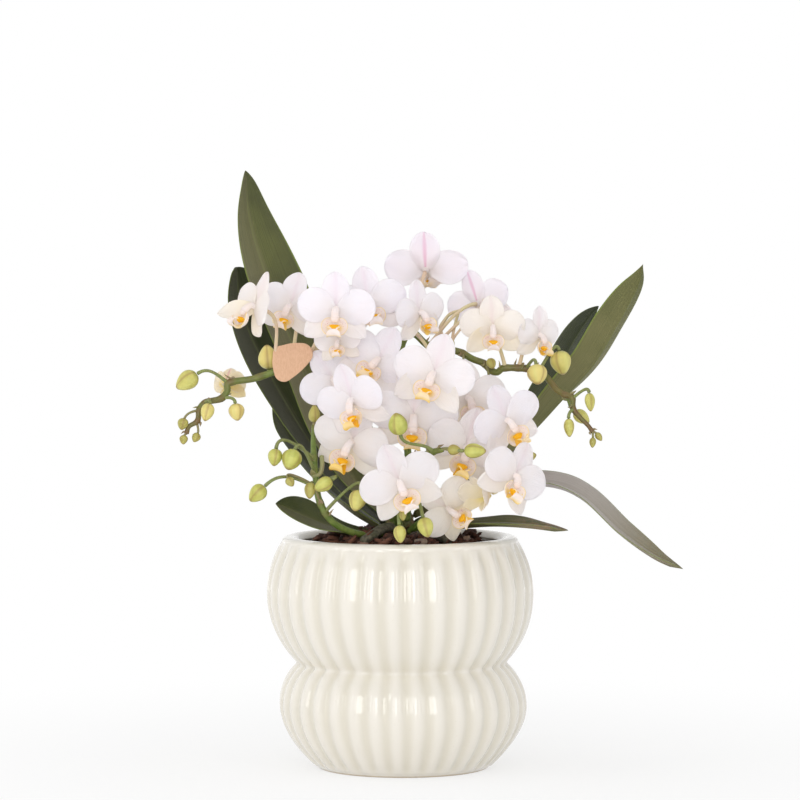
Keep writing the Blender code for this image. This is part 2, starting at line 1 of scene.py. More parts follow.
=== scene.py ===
# %% [markdown]
# # A potted moth orchid, finished piece by piece
# The imported model holds every piece at its real size: a ribbed outer pot, a clear grow pot full of
# bark, a crown with leaves and roots, five flower stalks, twenty-four flowers, eighteen buds and a
# card. Those pieces are coarse and plain. Here each one is made again in the same place, with the
# surface that an eye would know, and the plain piece is hidden.
#
# Sizes are in millimetres and angles in degrees until a mesh is written. Only the lamps, the
# floor and the camera are given in metres.

import math

import bpy
import numpy as np
from mathutils import Euler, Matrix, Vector


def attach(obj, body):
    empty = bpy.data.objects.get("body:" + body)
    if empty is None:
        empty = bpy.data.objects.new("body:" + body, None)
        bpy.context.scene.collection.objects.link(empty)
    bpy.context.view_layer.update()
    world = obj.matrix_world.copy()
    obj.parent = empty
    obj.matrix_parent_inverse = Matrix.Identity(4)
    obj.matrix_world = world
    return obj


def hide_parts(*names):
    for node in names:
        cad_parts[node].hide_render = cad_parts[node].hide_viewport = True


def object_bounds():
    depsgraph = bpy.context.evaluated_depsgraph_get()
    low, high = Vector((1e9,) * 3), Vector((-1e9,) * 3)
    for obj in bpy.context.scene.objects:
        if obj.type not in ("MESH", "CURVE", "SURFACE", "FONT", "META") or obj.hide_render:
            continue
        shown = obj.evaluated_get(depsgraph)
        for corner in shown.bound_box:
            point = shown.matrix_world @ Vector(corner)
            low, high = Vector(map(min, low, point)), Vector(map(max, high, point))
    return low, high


MM = 0.001
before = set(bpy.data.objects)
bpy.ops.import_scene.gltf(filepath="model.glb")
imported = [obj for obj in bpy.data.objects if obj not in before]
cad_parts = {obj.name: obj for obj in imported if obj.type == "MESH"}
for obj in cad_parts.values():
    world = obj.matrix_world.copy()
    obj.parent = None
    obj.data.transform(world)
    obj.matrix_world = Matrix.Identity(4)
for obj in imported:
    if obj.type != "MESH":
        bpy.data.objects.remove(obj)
cad_low, cad_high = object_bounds()
HEIGHT = cad_high.z / MM
print(f"{len(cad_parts)} packed pieces, {HEIGHT:.1f} mm tall")


# %% [markdown]
# ## Reading places from the model
# Nothing is placed by eye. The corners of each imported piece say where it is, and how far it
# reaches in any direction, so a flower or a bud only needs the way that it faces.

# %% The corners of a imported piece
def cad_points(node):
    """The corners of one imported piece, as rows of x, y, z in millimetres."""
    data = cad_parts[node].data
    found = np.empty(len(data.vertices) * 3, np.float32)
    data.vertices.foreach_get("co", found)
    return found.reshape(-1, 3).astype(float) / MM


def unit(vectors):
    """The vectors divided by their lengths."""
    vectors = np.asarray(vectors, float)
    return vectors / np.linalg.norm(vectors, axis=-1, keepdims=True)


print("the outer pot reaches", np.round(cad_points("cachepot").max(axis=0), 1), "mm")


# %% [markdown]
# ## Surfaces as rings
# Nearly everything on a plant is a closed skin: a stem is a stack of circles, a petal is a stack
# of very flat ovals, a bud is a stack of rounded triangles. So one helper is enough. It takes a
# grid of points, rings by points, joins neighbours into four-sided faces and closes each end in a
# fan. Numpy works out all the points of a grid at once, with no loop over them.
#
# Two things travel with each point for the materials: its place on the piece, and its tone, which
# is three shares that each finish reads in its own way.

# %% Join rings into a closed skin
def skin(rings, place=None, tone=None, ends=(None, None)):
    """Rings of points as a closed surface.

    Point j of ring i is joined to point j + 1 and to point j of the next ring. Each end is a fan
    round one point: the given one, or the middle of the end ring. Rings run counterclockwise
    about the way they follow one another, so that faces look outwards.
    """
    rings = np.asarray(rings, float)
    rows, sides = rings.shape[:2]
    i, j = np.meshgrid(np.arange(rows - 1), np.arange(sides), indexing="ij")
    after = (j + 1) % sides
    quads = np.stack([i * sides + j, i * sides + after, (i + 1) * sides + after,
                      (i + 1) * sides + j], axis=-1).reshape(-1, 4)
    rim = np.arange(sides)
    start, finish = rows * sides, rows * sides + 1
    last = (rows - 1) * sides
    fans = np.vstack([np.stack([rim, np.full(sides, start), (rim + 1) % sides], axis=-1),
                      np.stack([last + rim, last + (rim + 1) % sides, np.full(sides, finish)],
                               axis=-1)])
    poles = [rings[row].mean(axis=0) if end is None else end for row, end in zip((0, -1), ends)]

    def spread(values):
        values = np.zeros(3) if values is None else values
        full = np.broadcast_to(values, rings.shape)
        return np.vstack([full.reshape(-1, 3), full[0].mean(axis=0), full[-1].mean(axis=0)])

    return {"points": np.vstack([rings.reshape(-1, 3), poles]), "quads": quads, "fans": fans,
            "place": spread(place), "tone": spread(tone)}


def three(a, b, c):
    """Three grids of numbers, of any matching shapes, as one grid of triples."""
    return np.stack(np.broadcast_arrays(a, b, c), axis=-1).astype(float)


def around(count):
    """The angles of count points spread evenly round a circle."""
    return np.arange(count) * 2 * math.pi / count


def turned(radius, height, angle):
    """A profile turned round the upright axis, as on a lathe: a ring for each of its points."""
    return three(radius * np.cos(angle), radius * np.sin(angle), height)


def oval(sides):
    """Two shares for each point of a flat oval: how far across, and towards which face."""
    return np.cos(around(sides))[None], np.sin(around(sides))[None]


# %% Write surfaces into one mesh object
made = []  # the triangles of each piece so far


def write_piece(name, groups, slot, *nodes):
    """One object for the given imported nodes; groups is a list of (material, surfaces)."""
    surfaces = [(index, s) for index, (_, group) in enumerate(groups) for s in group]
    starts = np.cumsum([0] + [len(s["points"]) for _, s in surfaces])
    faces, wears = [], []
    for (index, s), start in zip(surfaces, starts):
        both = (s["quads"] + start).tolist() + (s["fans"] + start).tolist()
        faces += both
        wears += [index] * len(both)
    mesh = bpy.data.meshes.new(name)
    mesh.from_pydata(np.vstack([s["points"] for _, s in surfaces]) * MM, [], faces)
    mesh.polygons.foreach_set("material_index", wears)
    mesh.shade_smooth()
    for kind in ("place", "tone"):
        values = np.vstack([s[kind] for _, s in surfaces]).astype(np.float32)
        mesh.attributes.new(kind, "FLOAT_VECTOR", "POINT").data.foreach_set(
            "vector", values.ravel())
    for material, _ in groups:
        mesh.materials.append(material)
    piece = bpy.data.objects.new(name, mesh)
    bpy.context.scene.collection.objects.link(piece)
    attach(piece, "root")
    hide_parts(*nodes)
    made.append(sum(len(face) - 2 for face in faces))


def say(words, count):
    """Print what the last pieces are and how fine they came out."""
    print(f"{words}: {count} piece(s), {sum(made[-count:])} triangles")


# %% [markdown]
# ## Lines to carry a section along
# Stalks, roots and leaf midribs are given by a few points each. A Catmull-Rom curve runs through
# all of them without a kink. To carry a round section along it, each step needs two directions
# square to the line; they come from one fixed direction that the line hardly ever takes, which
# keeps the tube from twisting.

# %% Smooth lines and tubes
def smooth_line(points, count):
    """Count points along a Catmull-Rom curve, evenly spaced in the number of the given ones."""
    fixed = np.array(points, float)
    fixed = np.vstack([2 * fixed[0] - fixed[1], fixed, 2 * fixed[-1] - fixed[-2]])
    place = np.linspace(0, len(points) - 1, count)
    span = np.minimum(place.astype(int), len(points) - 2)
    t = (place - span)[:, None]
    a, b, c, d = (fixed[span + k] for k in range(4))
    return 0.5 * (2 * b + (c - a) * t + (2 * a - 5 * b + 4 * c - d) * t**2
                  + (3 * b - 3 * c + d - a) * t**3)


def run_of(line):
    """The length walked along a line up to each of its points."""
    return np.append(0, np.cumsum(np.linalg.norm(np.diff(line, axis=0), axis=1)))


def evenly(line, step):
    """The same line with its points about one step apart."""
    run = run_of(line)
    where = np.linspace(0, run[-1], max(4, int(run[-1] / step) + 1))
    return np.stack([np.interp(where, run, line[:, axis]) for axis in range(3)], axis=-1)


def frames(line):
    """For each point of a line: the way it runs, and two directions square to that."""
    along = unit(np.gradient(line, axis=0))
    steady = np.linalg.svd(along)[2][-1]
    side = unit(np.cross(steady, along))
    return along, side, np.cross(along, side)


TIP_REACH = 0.4  # how far a tube's closed ends stand out, in radii


def tube(line, radii, sides, tone=(0, 0, 0), relief=0):
    """A round stem: at each point a circle, its radius times 1 + relief at each angle."""
    along, side, up = frames(line)
    angle = around(sides)
    radii = np.broadcast_to(radii, len(line))
    radius = np.broadcast_to(radii[:, None] * (1 + relief), (len(line), sides))[..., None]
    rings = line[:, None] + radius * (side[:, None] * np.cos(angle)[:, None]
                                      + up[:, None] * np.sin(angle)[:, None])
    tips = [line[0] - along[0] * TIP_REACH * radii[0],
            line[-1] + along[-1] * TIP_REACH * radii[-1]]
    return skin(rings, None, np.broadcast_to(tone, (len(line), 3))[:, None], tips)


# %% [markdown]
# ## A small kit for finishes
# Every finish is a Principled shader with colour, roughness and bump worked out by nodes from the
# piece's own coordinates or from its place and tone. Written with bare Blender calls that takes
# many lines for each node, so a few helpers make one node each and link what they are given.

# %% Helpers that add one shader node each
class Finish:
    """A material in the making; its methods add nodes and return their outputs."""

    def __init__(self, name):
        self.material = bpy.data.materials.new(name)
        self.material.use_nodes = True
        self.tree = self.material.node_tree
        self.shader = self.tree.nodes["Principled BSDF"]

    def plug(self, socket, value):
        """Link an output to a socket, or set the socket to a number or a colour."""
        if isinstance(value, bpy.types.NodeSocket):
            self.tree.links.new(value, socket)
        else:
            socket.default_value = value

    def set(self, node, **values):
        """Plug values into a node's sockets by their names, with _ for a space."""
        for name, value in values.items():
            self.plug(node.inputs[name.replace("_", " ")], value)
        return node

    def add(self, kind, **values):
        """A new node with its sockets set."""
        return self.set(self.tree.nodes.new("ShaderNode" + kind), **values)

    def given(self, name):
        """The three numbers of an attribute that travels with the points."""
        node = self.add("Attribute")
        node.attribute_name = name
        return self.add("SeparateXYZ", Vector=node.outputs["Vector"]).outputs

    def where(self, stretch=(1, 1, 1)):
        """The piece's own coordinates in metres, stretched."""
        place = self.add("TexCoord").outputs["Object"]
        return self.add("Mapping", Vector=place, Scale=stretch).outputs["Vector"]

    def along(self, x, y):
        """A point to read a pattern at, made of two numbers that follow the surface."""
        return self.add("CombineXYZ", X=x, Y=y).outputs[0]

    def noise(self, where, scale, detail, rough=0.55):
        """Clouds from 0 to 1: scale is how many fit in one unit, and detail adds smaller ones."""
        node = self.add("TexNoise", Vector=where, Scale=scale, Detail=detail, Roughness=rough)
        return node.outputs["Fac"]

    def cells(self, scale):
        """How far the nearest of many scattered points is, as a share of their spacing."""
        node = self.add("TexVoronoi", Vector=self.where(), Scale=scale)
        return node.outputs["Distance"]

    def sum(self, how, a, b=0.0, c=0.0):
        """One step of arithmetic, named as Blender names it."""
        node = self.add("Math")
        node.operation = how
        for socket, value in zip(node.inputs, (a, b, c)):
            self.plug(socket, value)
        return node.outputs[0]

    def times(self, a, b):
        """One number times another."""
        return self.sum("MULTIPLY", a, b)

    def between(self, value, low, high, first=0.0, last=1.0):
        """Value carried from the range low to high into the range first to last, eased."""
        node = self.add("MapRange", Value=value, From_Min=low, From_Max=high,
                        To_Min=first, To_Max=last)
        node.interpolation_type = "SMOOTHSTEP"
        return node.outputs[0]

    def mix(self, share, first, second):
        """A colour between two others. The node's colour sockets are its 7th and 8th."""
        node = self.add("Mix")
        node.data_type = "RGBA"
        for index, value in ((0, share), (6, first), (7, second)):
            self.plug(node.inputs[index], value)
        return node.outputs[2]

    def coats(self, colour, *layers):
        """A colour under coats, each given as the share that it covers and its own colour."""
        for share, coat in layers:
            colour = self.mix(share, colour, coat)
        return colour

    def bump(self, height, distance, strength):
        """The way the surface would face if height stood out by so many metres."""
        node = self.add("Bump", Height=height, Distance=distance, Strength=strength)
        return node.outputs["Normal"]

    def beside(self, share, second):
        """Show a second shader next to the main one, by a share."""
        both = self.add("MixShader", Fac=share)
        self.plug(both.inputs[1], self.shader.outputs[0])
        self.plug(both.inputs[2], second.outputs[0])
        self.plug(self.tree.nodes["Material Output"].inputs["Surface"], both.outputs[0])

    def thin(self, colour, share, **bumps):
        """Let some of the light that falls on the back shine through."""
        self.beside(share, self.add("BsdfTranslucent", Color=colour, **bumps))

    def done(self, colour, rough, normal):
        """Give the shader its colour, roughness and bump, and hand the material over."""
        self.set(self.shader, Base_Color=colour, Roughness=rough, Normal=normal)
        return self.material


def rgb(red, green, blue):
    """A colour given as it looks on a screen, from 0 to 255, in the shader's linear numbers."""
    share = np.array([red, green, blue]) / 255
    linear = np.where(share <= 0.04045, share / 12.92, ((share + 0.055) / 1.055) ** 2.4)
    return (*linear.tolist(), 1.0)


# %% [markdown]
# ## The outer pot
# It is slip-cast stoneware: two bulges with a waist between them, and thirty-six rounded flutes
# that run up both and fade out under the rim. A lathe makes such a shape, so it is a profile
# turned round the axis. The flutes are one more term in the radius: each is a bow that stands
# highest in its middle and meets the next one in a groove.
#
# The two bulges are circles. Where they meet, a soft maximum rounds the crease as glaze does.

# %% The pot's measures, and its two bulges
POT_HEIGHT = 111.6
UPPER_RADIUS, UPPER_HEIGHT, UPPER_CURVE = 64.2, 84.0, 46.5
LOWER_RADIUS, LOWER_HEIGHT, LOWER_CURVE = 59.6, 30.5, 25.5
POT_BASE_RADIUS, POT_BASE_POWER = 41.4, 1.9
POT_WALL, MOUTH_RADIUS, INNER_FLOOR = 4.6, 48.6, 6.0
WAIST_FILLET = 1.3
RIM_START, RIM_CREST, RIM_RISE = 109.2, 53.0, 2.4
MOUTH_START, MOUTH_FLARE = 108.2, 1.4
FLUTES, FLUTE_DEPTH, FLUTE_POWER, FLUTE_TURN = 36, 1.25, 2.4, 1.8
FLUTE_END, FLUTE_FADE = POT_HEIGHT - 1.8, 6.0
FLUTE_STEPS = 16
LEAN = 1.6  # how far the foot has crept to the right


def bulges(z):
    """The larger of two bulges, with the crease between them rounded.

    Each bulge is its curve's centre plus the square root of curve squared less height squared.
    Below its widest place the lower one closes by a power of the share of the way down.
    """
    below = np.clip((LOWER_HEIGHT - z) / LOWER_HEIGHT, 0, 1)
    foot = LOWER_RADIUS - (LOWER_RADIUS - POT_BASE_RADIUS) * below**POT_BASE_POWER
    above = np.maximum(LOWER_CURVE**2 - (z - LOWER_HEIGHT) ** 2, 0)
    lower = np.where(z < LOWER_HEIGHT, foot, LOWER_RADIUS - LOWER_CURVE + np.sqrt(above))
    round_top = np.maximum(UPPER_CURVE**2 - (z - UPPER_HEIGHT) ** 2, 0)
    upper = UPPER_RADIUS - UPPER_CURVE + np.sqrt(round_top)
    return 0.5 * (lower + upper + np.sqrt((lower - upper) ** 2 + WAIST_FILLET**2))


def arc(centre, radii, start, stop, count):
    """Points (r, z) on a part of an ellipse."""
    angle = np.radians(np.linspace(start, stop, count))
    return np.stack([centre[0] + radii[0] * np.cos(angle),
                     centre[1] + radii[1] * np.sin(angle)], axis=-1)


# %% The pot's profile: up its outside, over the rim, down its inside
outside_z = np.linspace(2.0, RIM_START, 110)
outside = np.stack([bulges(outside_z), outside_z], axis=-1)
rim = np.vstack([arc((RIM_CREST, RIM_START), (outside[-1, 0] - RIM_CREST, RIM_RISE), 8, 86, 9),
                 arc((52.8, MOUTH_START), (4.2, 3.4), 95, 180, 10)])
inside_z = np.linspace(107.0, INNER_FLOOR + 4, 26)
inside_r = np.minimum(bulges(inside_z) - POT_WALL - FLUTE_DEPTH,
                      MOUTH_RADIUS + (MOUTH_START - inside_z) * MOUTH_FLARE)
inside = np.vstack([np.stack([inside_r, inside_z], axis=-1),
                    arc((inside_r[-1] - 6, INNER_FLOOR + 4.5), (6, 4.5), -20, -88, 5)])
foot = np.vstack([[(30, 1.6), (36.6, 1.5)], arc((38.4, 1.2), (1.2, 1.2), 180, 270, 4),
                  arc((40.0, 1.4), (1.5, 1.4), -80, -20, 4)])
pot_line = np.vstack([foot, outside, rim, inside])
print(f"the pot's profile has {len(pot_line)} points and is {np.ptp(pot_line[:, 1]):.1f} mm high")


# %% The flutes: how deep the groove is at each angle, and how strong at each height
angle = around(FLUTES * FLUTE_STEPS)
across = (np.degrees(angle) - FLUTE_TURN) * FLUTES / 360 % 1 * 2 - 1
groove = np.sin(np.abs(across) * math.pi / 2) ** FLUTE_POWER
fluted = np.zeros(len(pot_line))
fluted[len(foot):len(foot) + len(outside)] = (
    np.clip((FLUTE_END - outside_z) / FLUTE_FADE, 0, 1) ** 0.8
    * np.clip(outside_z / 5, 0.35, 1))
radius = pot_line[:, :1] - FLUTE_DEPTH * fluted[:, None] * groove
off_true = LEAN * np.clip((80 - pot_line[:, 1:]) / 55, 0, 1)
pot_rings = turned(radius, pot_line[:, 1:], angle) + three(off_true, 0, 0)
bare_foot = np.arange(len(pot_line)) < len(foot) - 1
pot_tone = three(fluted[:, None] * groove, 0, bare_foot[:, None])
print(f"{FLUTES} flutes of {FLUTE_STEPS} steps, {FLUTE_DEPTH} mm deep")


# %% [markdown]
# Glaze is glass over clay. It is warm on the crests and a little darker and greener in the
# grooves, and its surface is never quite even, which is what makes highlights on it tremble.
# The ring that the pot stands on is wiped bare before firing.

# %% Glaze, and the pot
def glaze():
    """Warm white, a little darker in the grooves, with fine specks and a bare foot."""
    f = Finish("cream_glaze")
    in_groove, _, bare = f.given("tone")
    cloud = f.noise(f.where(), 26, 4)
    # darker and greener in the grooves, and in random clouds
    cloud_and_groove = f.sum("MULTIPLY_ADD", cloud, 0.5, f.times(in_groove, 0.75))
    colour = f.coats(rgb(234, 229, 219),
                     (f.between(cloud_and_groove, 0.1, 1.15), rgb(221, 215, 200)),
                     (f.between(f.cells(420), 0.0, 0.16, 0.3, 0.0), rgb(196, 182, 152)),
                     (bare, rgb(206, 190, 164)))
    f.set(f.shader, Coat_Weight=0.5, Coat_Roughness=0.09)
    rough = f.sum("MULTIPLY_ADD", bare, 0.6, f.between(cloud, 0.3, 0.7, 0.1, 0.15))
    return f.done(colour, rough, f.bump(f.noise(f.where(), 95, 2), 0.00035, 0.2))


write_piece("outer_pot", [(glaze(), [skin(pot_rings, tone=pot_tone)])], "cream_glaze", "cachepot")
say("outer pot", 1)


# %% [markdown]
# ## The grow pot
# Orchids are grown in a clear pot, because their roots like light. It is a thin shell with a
# rolled rim, shallow ribs that stiffen it and a hole in its floor. It shows only from above, as
# a bright ring between the bark and the glaze. A thin film needs no bending of light, so most of
# it is simply left out with the shader's alpha, and scuffs make the rest uneven.

# %% The clear grow pot
GROW_TOP, GROW_FLOOR = 108.6, 6.3
GROW_SIDES, GROW_RIBS, RIB_HEIGHT = 144, 24, 0.35


def clear_plastic():
    """A clear film with fine scuffs that run up and down."""
    f = Finish("clear_plastic")
    scuffs = f.noise(f.where((1, 1, 0.2)), 160, 4)
    f.set(f.shader, Alpha=0.25, Roughness=f.between(scuffs, 0.35, 0.75, 0.1, 0.4),
          Base_Color=f.mix(f.between(scuffs, 0.45, 0.8), rgb(240, 240, 232),
                           rgb(214, 214, 200)))
    return f.material


def hoop(rings):
    """A skin whose last ring joins the first one, so that it has no ends to close."""
    surface = skin(np.concatenate([rings, rings[:1]]))
    count = rings.shape[0] * rings.shape[1]
    kept = {kind: surface[kind][:count] for kind in ("points", "place", "tone")}
    return {**kept, "quads": surface["quads"] % count, "fans": surface["fans"][:0]}


grow_line = np.array([
    (6.4, GROW_FLOOR + 0.9), (6.4, GROW_FLOOR), (32.0, GROW_FLOOR), (33.0, GROW_FLOOR + 1.6),
    (43.3, 103.6), (43.5, 104.8), (44.4, 105.4), (44.4, 106.2), (43.7, 106.8), (43.7, GROW_TOP),
    (42.9, GROW_TOP), (42.9, 106.4), (42.4, 104.5), (32.2, GROW_FLOOR + 2.4),
    (31.4, GROW_FLOOR + 0.9)])
grow_run = run_of(np.c_[grow_line, 0 * grow_line[:, 0]])
grow_steps = np.unique(np.concatenate([grow_run, np.arange(0, grow_run[-1], 6.0)]))
grow_r, grow_z = (np.interp(grow_steps, grow_run, grow_line[:, axis]) for axis in (0, 1))
turn = around(GROW_SIDES)
is_wall = (grow_r > 33.5) & (grow_z < 98)
radius = grow_r[:, None] + RIB_HEIGHT * np.cos(GROW_RIBS * turn) * is_wall[:, None]
grow_surface = hoop(turned(radius, grow_z[:, None], turn))
write_piece("clear_grow_pot", [(clear_plastic(), [grow_surface])], "clear_plastic", "grow_pot")
say("grow pot", 1)


# %% [markdown]
# ## Bark
# The pot is filled with chunks of pine bark. A bed with a rough top stands for the mass of it,
# and loose chips lie over that. A chip is a flat stone-like lump: three uneven rings and two
# ends, a few dozen faces, thrown down with its own size, turn and tilt. All of the chips are one
# array, so they cost one calculation.

# %% The bark bed
BARK_TOP, HEAP = 108.0, 2.0
BED_FLOOR, BED_RADIUS, POT_EDGE = 9.0, 41.8, 42.6
dice = np.random.default_rng(21)


def ridges(where, dice, waves, count=5):
    """Smooth unevenness: a sum of a few sine waves in random directions."""
    ways = dice.normal(size=(count, where.shape[-1])) * waves
    shift = dice.uniform(0, 2 * math.pi, count)
    return np.sin(where @ ways.T + shift).sum(axis=-1) / count


def heap(r):
    """Height of the bark over its edge: it is piled up towards the crown."""
    return HEAP * (1 - (r / BED_RADIUS) ** 2)


top_r = np.linspace(BED_RADIUS - 1, 8.0, 18)
bed_r = np.concatenate([np.linspace(30.8, BED_RADIUS, 8), top_r, [7.4, 10.4]])
bed_z = np.concatenate([np.linspace(BED_FLOOR, BARK_TOP - 1.5, 8), BARK_TOP + heap(top_r),
                        [BARK_TOP, 60.0]])
bed = turned(bed_r[:, None], bed_z[:, None], around(96))
bed[8:-2, :, 2] += 1.6 * ridges(bed[8:-2, :, :2], dice, 0.55, 7)
bed_surface = skin(bed, tone=(0.15, 0.3, 0))
print(f"the bark lies between {bed[8:-2, :, 2].min():.1f} and {bed[8:-2, :, 2].max():.1f} mm")


# %% Loose chips of bark
CHIPS, CHIP_SIDES = 300, 7
CHIP_SIZES = ((2.6, 5.6), (1.8, 3.6), (0.9, 2.0))  # half length, half width, half height

spot = np.sqrt(dice.uniform(9**2, 40.5**2, CHIPS))
swing = dice.uniform(0, 2 * math.pi, CHIPS)
middle = np.stack([spot * np.cos(swing), spot * np.sin(swing),
                   BARK_TOP + heap(spot) + dice.uniform(-0.6, 3.6, CHIPS)], axis=-1)
size = np.stack([dice.uniform(least, most, CHIPS) for least, most in CHIP_SIZES], axis=-1)
size *= np.minimum(1, (POT_EDGE - spot) / 5.2)[:, None]
level = np.array([-0.75, 0.0, 0.75])
bulge = np.array([0.82, 1.0, 0.86])
corner = around(CHIP_SIDES)
uneven = dice.uniform(0.72, 1.12, (CHIPS, 3, CHIP_SIDES))
chip = three(np.cos(corner) * bulge[:, None] * uneven, np.sin(corner) * bulge[:, None] * uneven,
             level[:, None] + dice.uniform(-0.15, 0.15, (CHIPS, 3, CHIP_SIDES)))
chip = chip * size[:, None, None]
tilt = dice.normal(0, 0.42, (CHIPS, 2))
spin = dice.uniform(0, 2 * math.pi, CHIPS)[:, None, None]
x = chip[..., 0] * np.cos(spin) - chip[..., 1] * np.sin(spin)
y = chip[..., 0] * np.sin(spin) + chip[..., 1] * np.cos(spin)
z = chip[..., 2] + x * tilt[:, :1, None] + y * tilt[:, 1:, None]
chips = three(x, y, z) + middle[:, None, None]
shade = dice.uniform(0, 1, (CHIPS, 2))
chip_surfaces = [skin(rings, tone=(*pair, 0)) for rings, pair in zip(chips, shade)]
print(f"{CHIPS} chips, {2 * size[:, 0].min():.1f} to {2 * size[:, 0].max():.1f} mm long")


# %% Bark's finish, and the bed
def bark():
    """Red-brown cork, furrowed and dry, paler on some chips."""
    f = Finish("pine_bark")
    own, pale, _ = f.given("tone")
    furrow = f.noise(f.where((1, 1, 2.5)), 420, 5, 0.7)
    blotch = f.noise(f.where(), 130, 3)
    pale = f.sum("ADD", pale, f.times(blotch, 0.3))
    colour = f.coats(rgb(44, 24, 17),
                     (f.between(furrow, 0.35, 0.68), rgb(106, 62, 44)),
                     (f.between(own, 0.62, 1.0, 0.0, 0.55), rgb(140, 92, 70)),
                     (f.between(pale, 1.0, 1.15, 0.0, 0.7), rgb(188, 168, 150)))
    return f.done(colour, f.between(blotch, 0.3, 0.7, 0.65, 0.95), f.bump(furrow, 0.0012, 0.9))


write_piece("bark", [(bark(), [bed_surface, *chip_surfaces])], "orchid_bark", "bark_bed")
say("bark bed", 1)


# %% [markdown]
# ## Leaf blades
# A moth orchid's leaf is a thick strap, folded along its midrib like a shallow gutter, with a
# keel below. It is a flat oval section carried along the midrib: the half width rises from the
# clasping base, holds, and closes in a rounded tip. Across it, the fold lifts both margins and a
# slow ripple runs along them. On top the midrib is a fine groove, and the section thins out
# towards the margins.
#
# The way that the upper side faces turns from base to tip, which gives the twist that some
# leaves have.

# %% The leaf surface
LEAF_THICKNESS = 2.0
LEAF_ROWS, LEAF_SIDES, LEAF_STEPS = 110, 44, 1201


def leaf_surface(route, half_width, base_face, tip_face, fold, point, ripple, phase):
    """A folded strap along a route.

    Half width: a base share of 0.26 rising by a quarter sine to full at 0.6 of the way, then
    falling with 1 less the square of the rest, to the power point. Height above the midrib: the
    distance across times the tangent of the fold, rounded at the midrib, plus the ripple, which
    grows with the fourth power of the distance across.
    """
    t = 1 - (1 - np.linspace(0, 1, LEAF_ROWS + 1)[:-1]) ** 1.35
    fine, steps = smooth_line(route, LEAF_STEPS), np.linspace(0, 1, LEAF_STEPS)
    middle = np.stack([np.interp(t, steps, fine[:, k]) for k in range(3)], axis=-1)
    along = unit(np.gradient(middle, axis=0))
    facing = (1 - t[:, None]) * np.array(base_face) + t[:, None] * np.array(tip_face)
    side = unit(np.cross(facing, along))
    up = np.cross(along, side)
    rise = 0.26 + 0.74 * np.sin(np.minimum(t / 0.6, 1) * math.pi / 2)
    close = (1 - np.clip((t - 0.6) / 0.4, 0, 1) ** 2) ** point
    wide = (half_width * rise * close)[:, None]
    s, face = oval(LEAF_SIDES)
    thick = 0.5 * np.minimum(LEAF_THICKNESS, 0.5 * wide)
    body = np.sign(face) * np.abs(face) ** 0.55 * thick * (0.3 + 0.7 * (1 - np.abs(s)) ** 0.7)
    gutter = (np.sqrt(s**2 + 0.004) - 0.063) * math.tan(math.radians(fold)) * wide
    crease = np.exp(-((s / 0.055) ** 2)) * thick * np.where(face > 0, -0.45, -0.55)
    wave = ripple * s**4 * np.sin(2 * math.pi * (2.2 * t[:, None] + phase) + s)
    lift = gutter + body + crease + wave * np.minimum(1, wide / 6)
    rings = middle[:, None] + side[:, None] * (s * wide)[..., None] + up[:, None] * lift[..., None]
    return skin(rings, three(s, t[:, None], face), None, (None, np.array(route[-1], float)))


# %% [markdown]
# The two sides of a leaf differ. The upper one is deep green and satin, the lower one greyer
# and matt, and fine veins run the whole length of both. Against the light the margin shows as
# a thin brighter line. Some leaves have dry brown patches at their tips. Painted sheen, where
# light glances off the waxy skin, is a grey coat, and painted shade, on leaves that lie in
# shadow, is a dark coat. Four shares per leaf say how much painted sheen lies on the halves left
# and right of its midrib, how much painted shade darkens it, and how dry its tip is.

# %% Leaf skin
def leaf_skin():
    """Green and veined, with coats of painted sheen, painted shade, margin, midrib and dry patches
    over it.
    """
    f = Finish("leaf_skin")
    s, t, face = f.given("place")
    grey, painted_shade, torn = f.given("tone")
    off = f.sum("ABSOLUTE", s)
    veins = f.noise(f.along(f.times(s, 34.0), f.times(t, 1.6)), 1.0, 3, 0.6)
    cloud = f.between(f.noise(f.where(), 34, 3), 0.3, 0.72)
    upper = f.mix(cloud, rgb(58, 68, 16), rgb(88, 96, 34))
    lower = f.mix(cloud, rgb(98, 102, 48), rgb(122, 120, 70))
    scar = f.times(torn, f.between(f.noise(f.where(), 260, 4), 0.38, 0.55))
    colour = f.coats(f.mix(f.between(face, -0.15, 0.15), lower, upper),
                     # painted sheen: a grey coat, and a pale lilac one where the sheen is strong
                     (grey, rgb(150, 141, 110)),
                     (f.between(grey, 0.6, 1.0), rgb(206, 197, 197)),
                     # painted shade, for leaves that lie in shadow
                     (f.times(painted_shade, 0.8), rgb(34, 42, 20)),
                     (f.between(veins, 0.42, 0.68, 0.0, 0.28), rgb(50, 58, 30)),
                     (f.times(f.between(off, 0.93, 0.985), 0.8), rgb(128, 146, 60)),
                     (f.between(off, 0.0, 0.05, 0.35, 0.0), rgb(128, 140, 76)),
                     (scar, rgb(150, 122, 92)))
    f.set(f.shader, Specular_IOR_Level=0.36)
    f.thin(colour, 0.08)
    rough = f.sum("ADD", f.between(face, -0.15, 0.15, 0.52, 0.36), f.times(veins, 0.14))
    return f.done(colour, rough, f.bump(veins, 0.0005, 0.7))


